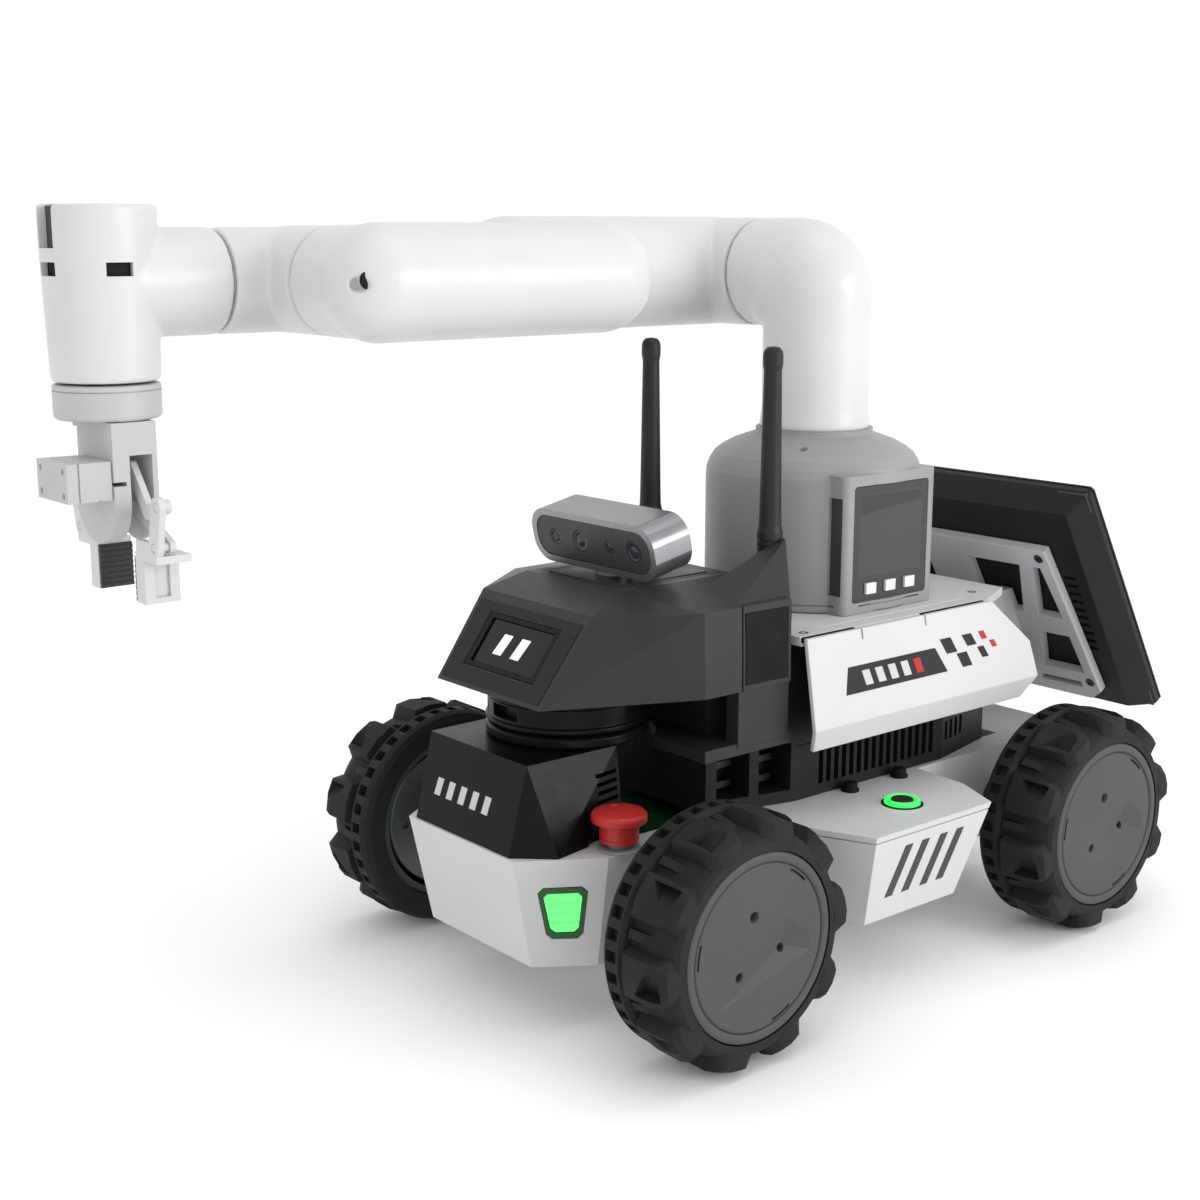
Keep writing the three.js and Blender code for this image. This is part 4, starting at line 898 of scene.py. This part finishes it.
tools = [mm_tool(box(X6 + 12, X6 + 24, Y_OUT - 6, Y_OUT + 4, 275, 279.5)), mm_tool(box(X6 - 3, X6 + 6, Y_OUT + 12, Y_OUT + 24, 275, 279.5)),
         mm_tool(box(X6 + 13.5, X6 + 24, Y_OUT - 6, Y_OUT + 4, 284, 302))]
bpy.context.view_layer.update()
csg(l5, "DIFFERENCE", tools)
l5.data.shade_smooth()
l5.data.set_sharp_from_angle(angle=math.radians(45))

# painted shade: near-black boxes fill the insides of the openings, a grey sheet lines the back of the recess
for name, o in (("wrist_opening_front_shade", box(X6 + 12.05, X6 + 16.6, Y_OUT - 5.9, Y_OUT + 3.9, 275.1, 279.4)),
                ("wrist_opening_side_shade", box(X6 - 2.9, X6 + 5.9, Y_OUT + 12.05, Y_OUT + 15.2, 275.1, 279.4)),
                ("wrist_recess_shade", box(X6 + 13.55, X6 + 16.2, Y_OUT - 5.9, Y_OUT + 3.9, 284.1, 297.6))):
    piece(o, name, "link5", M_DEEP if "opening" in name else M_SOFT_GREY_AND_SHADE, bevel=0.2, seg=1)
# painted shade: a grey sheet lines the back of the slot in the base
piece(box(AX + 25.05, AX + 26.1, 35.1, 41.3, 148.1, 186.9), "base_slot_shade", "chassis", M_SOFT_GREY_AND_SHADE, bevel=0.2, seg=1)

# painted shade: thin grey rings fill the joint gaps
for name, body, o in (("joint_shade_base", "chassis", tube("z", X2, 0, 14, 21.2, 209.4, 210.4, 96)),
                      ("joint_shade_shoulder", "link1", tube("y", X2, AZ, 9, 21.0, -32.2, -31.2, 96)),
                      ("joint_shade_elbow", "link3", tube("y", X3, AZ, 9, 19.4, -32.2, -31.2, 96)),
                      ("joint_shade_wrist", "link3", tube("y", X4, AZ, 9, 18.0, -33.8, -32.6, 96)),
                      ("joint_shade_roll", "link4", tube("x", Y_OUT - 2, AZ, 9, 17.3, 205.4, 206.5, 96))):
    piece(o, name, body, M_JOINT_GAP_SHADE, bevel=0.15, seg=1)
# a screw cover in the elbow
plug = turned("z", 0, 0, [(0, -0.6), (1.9, -0.6), (2.2, 0.15), (1.4, -0.05), (0, -0.25)], 32)
aim = Vector((0.06, 0.5, 0.865)).normalized()
plug.data.transform(Matrix.Translation((X2, 6.2, 289.6)) @ aim.to_track_quat("Z", "Y").to_matrix().to_4x4())
piece(plug, "elbow_screw_cover", "link1", M_SOFT_GREY_AND_SHADE, bevel=0.05, seg=1)
# painted shade: a near-black disc at the bottom of the hole in the forearm
plug = turned("y", X4 + 12.5, AZ + 1.5, [(0, 6.2), (3.0, 6.2), (3.0, 7.2), (0, 7.2)], 40)
piece(plug, "forearm_hole_shade", "link3", M_DEEP, bevel=0.2, seg=1)

fl = turned("z", X6, Y_OUT - 2, [(0, 227.5), (17.0, 227.5), (17.8, 228.2), (18, 229), (18, 238.3), (17.7, 239.0), (16.6, 239.3), (0, 239.3)], 96)
fl = join(fl, rod("z", X6, Y_OUT - 2, 8, 239, 245, 48))
fl = cut(fl, tube("z", X6, Y_OUT - 2, 17.5, 19, 237.0, 237.4, 96), *[rod("z", X6 + 12.5 * math.cos(math.radians(a)), Y_OUT - 2 + 12.5 * math.sin(math.radians(a)), 1.4, 226, 229, 20) for a in (45, 135, 225, 315)])
piece(fl, "tool_flange", "gripper", M_TOOL, ["link6_flange"], bevel=0.2)

# ---------------------------------------------------------------- gripper
GY = -62.5
PA, PB, PC, PD, PE = (8, 211), (32, 200.5), (5, 197), (29, 186.5), (19.5, 197)
outline = [(GY - 15.5, 227.2), (GY + 15.5, 227.2)]
for i in range(25):
    a = math.radians(-180 * i / 24)
    outline.append((GY + 15.5 * math.cos(a), 200.5 + 15.5 * math.sin(a)))
gb = prism("x", outline, 238, 254)
gb = cut(gb, box(240, 248, GY - 17, GY + 17, 180, 216), box(249.5, 256, GY + 8, GY + 18, 206, 207.4))
for s in (1, -1):
    gb = cut(gb, rod("x", GY + s * PA[0], PA[1], 1.7, 247, 250.4, 24), rod("x", GY + s * PC[0], PC[1], 1.7, 238.5, 241, 24))
gb = cut(gb, box(252.6, 256, GY - 16.5, GY - 11.5, 203, 224), tube("x", GY, 218, 5.6, 6.2, 236, 238.4, 48))
piece(gb, "gripper_frame", "gripper", M_TOOL, ["gripper_body"], bevel=0.45)
sv = box(254.2, 270, GY - 9.5, GY + 14.5, 201.5, 214.6)
sv = cut(sv, box(253, 262, GY - 12, GY - 8.6, 200, 216), box(258.4, 259.0, GY - 12, GY + 16, 200, 202.0), box(265.5, 266.0, GY - 12, GY + 16, 213.9, 216), box(265.5, 266.0, GY + 13.9, GY + 16, 200, 216),
         *[rod("x", GY + y, z, 1.1, 269.2, 271, 20) for y in (-6.5, 11.5) for z in (204, 212)])
piece(sv, "gripper_servo_case", "gripper", M_TOOL, ["gripper_servo"], bevel=0.5)


def bar(s, x0, x1, p, q, w):
    ux, uz = q[0] - p[0], q[1] - p[1]
    l = math.hypot(ux, uz)
    a0 = math.atan2(uz, ux)
    pts = []
    for c, base_a in ((q, a0 - math.pi / 2), (p, a0 + math.pi / 2)):
        for i in range(17):
            a = base_a + math.pi * i / 16
            pts.append((GY + s * (c[0] + w * math.cos(a)), c[1] + w * math.sin(a)))
    return prism("x", pts, x0, x1)


def pin(s, x0, x1, p, r, n=28):
    return rod("x", GY + s * p[0], p[1], r, x0, x1, n)


for side, s in (("left", 1), ("right", -1)):
    t = side[0]
    lever = join(bar(s, 242.8, 245.1, PA, PE, 2.4), bar(s, 242.8, 245.1, PE, PB, 2.4), pin(s, 244.8, 250, PA, 1.5), pin(s, 244.8, 247.6, PB, 1.4))
    lever = cut(lever, pin(s, 242, 243.2, PA, 1.1), pin(s, 242, 243.2, PB, 1.1))
    piece(lever, "grip_lever_" + side, "lever_" + t, M["white_plastic"], ["lever_" + side], bevel=0.25)
    fol = join(bar(s, 240.3, 242.5, PC, PD, 2.2), pin(s, 238.8, 240.6, PC, 1.5), pin(s, 242.2, 247.6, PD, 1.4))
    piece(fol, "grip_follower_" + side, "follower_" + t, M["white_plastic"], ["follower_" + side], bevel=0.25)

    def y(a, b, s=s):
        return sorted((GY + s * a, GY + s * b))
    fg = join(bar(s, 245.4, 247.7, PB, PD, 3.4), box(245.4, 247.7, *y(16, 31), 181, 188), box(235, 247.7, *y(15, 31), 181, 183.6), box(235, 247.7, *y(15, 21.5), 166, 182))
    fg = cut(fg, pin(s, 245, 248.5, PB, 1.62), pin(s, 245, 248.5, PD, 1.62), box(238.5, 244, *y(20.2, 24), 168, 179))
    fg = cut(fg, box(236.6, 246.1, *y(17.2, 19.4), 164, 167.4))
    piece(fg, "grip_finger_" + side, "finger_" + t, M["white_plastic"], ["finger_" + side], bevel=0.3)
    pd = box(235.3, 247.4, *y(13.5, 14.8), 166.3, 181.7)
    pd = cut(pd, *[box(234, 249, *y(13.2, 13.85), 167.6 + 1.9 * k, 168.3 + 1.9 * k) for k in range(8)])
    piece(pd, "grip_pad_" + side, "finger_" + t, M["pad_rubber"], ["pad_" + side], bevel=0.15, seg=2)

# ---------------------------------------------------------------- floor, lights, camera
bm = bmesh.new()
bmesh.ops.create_grid(bm, x_segments=8, y_segments=8, size=6.0)
floor = wrap(bm, "studio_floor")
fm = finish("floor_paper", 0xFDFDFD, 0.85, vary=0.004, bump=0.0, grain=300, spread=0.02, spec=0.1)
floor.data.materials.append(fm)

world = bpy.data.worlds.new("studio")
world.use_nodes = True
wn = world.node_tree
bg = wn.nodes["Background"]
bg.inputs["Color"].default_value = (1, 1, 1, 1)
bg.inputs["Strength"].default_value = 1.03
scene.world = world


def lamp(name, where, to, power, sx, sy):
    d = bpy.data.lights.new(name, "AREA")
    d.shape = "RECTANGLE"
    d.size, d.size_y = sx, sy
    d.energy = power
    o = bpy.data.objects.new(name, d)
    scene.collection.objects.link(o)
    o.location = where
    o.rotation_euler = (Vector(to) - Vector(where)).to_track_quat("-Z", "Y").to_euler()
    return o


lamp("key", (-0.75, 1.7, 0.55), (0, 0, 0.14), 15, 1.0, 0.8)
lamp("top", (-0.2, 0.3, 2.2), (0, 0, 0), 5, 1.2, 1.2)

cd = bpy.data.cameras.new("camera")
cd.lens = 53.17
cd.sensor_width = 36
cd.clip_start = 0.01
cd.clip_end = 50
cam_o = bpy.data.objects.new("camera", cd)
scene.collection.objects.link(cam_o)
yaw, pitch = math.radians(230.27), math.radians(-11.93)
look = Vector((math.cos(yaw) * math.cos(pitch), math.sin(yaw) * math.cos(pitch), math.sin(pitch)))
cam_o.location = (0.45841, 0.50584, 0.28673)
cam_o.rotation_euler = look.to_track_quat("-Z", "Y").to_euler()
scene.camera = cam_o
scene.view_settings.view_transform = "Standard"
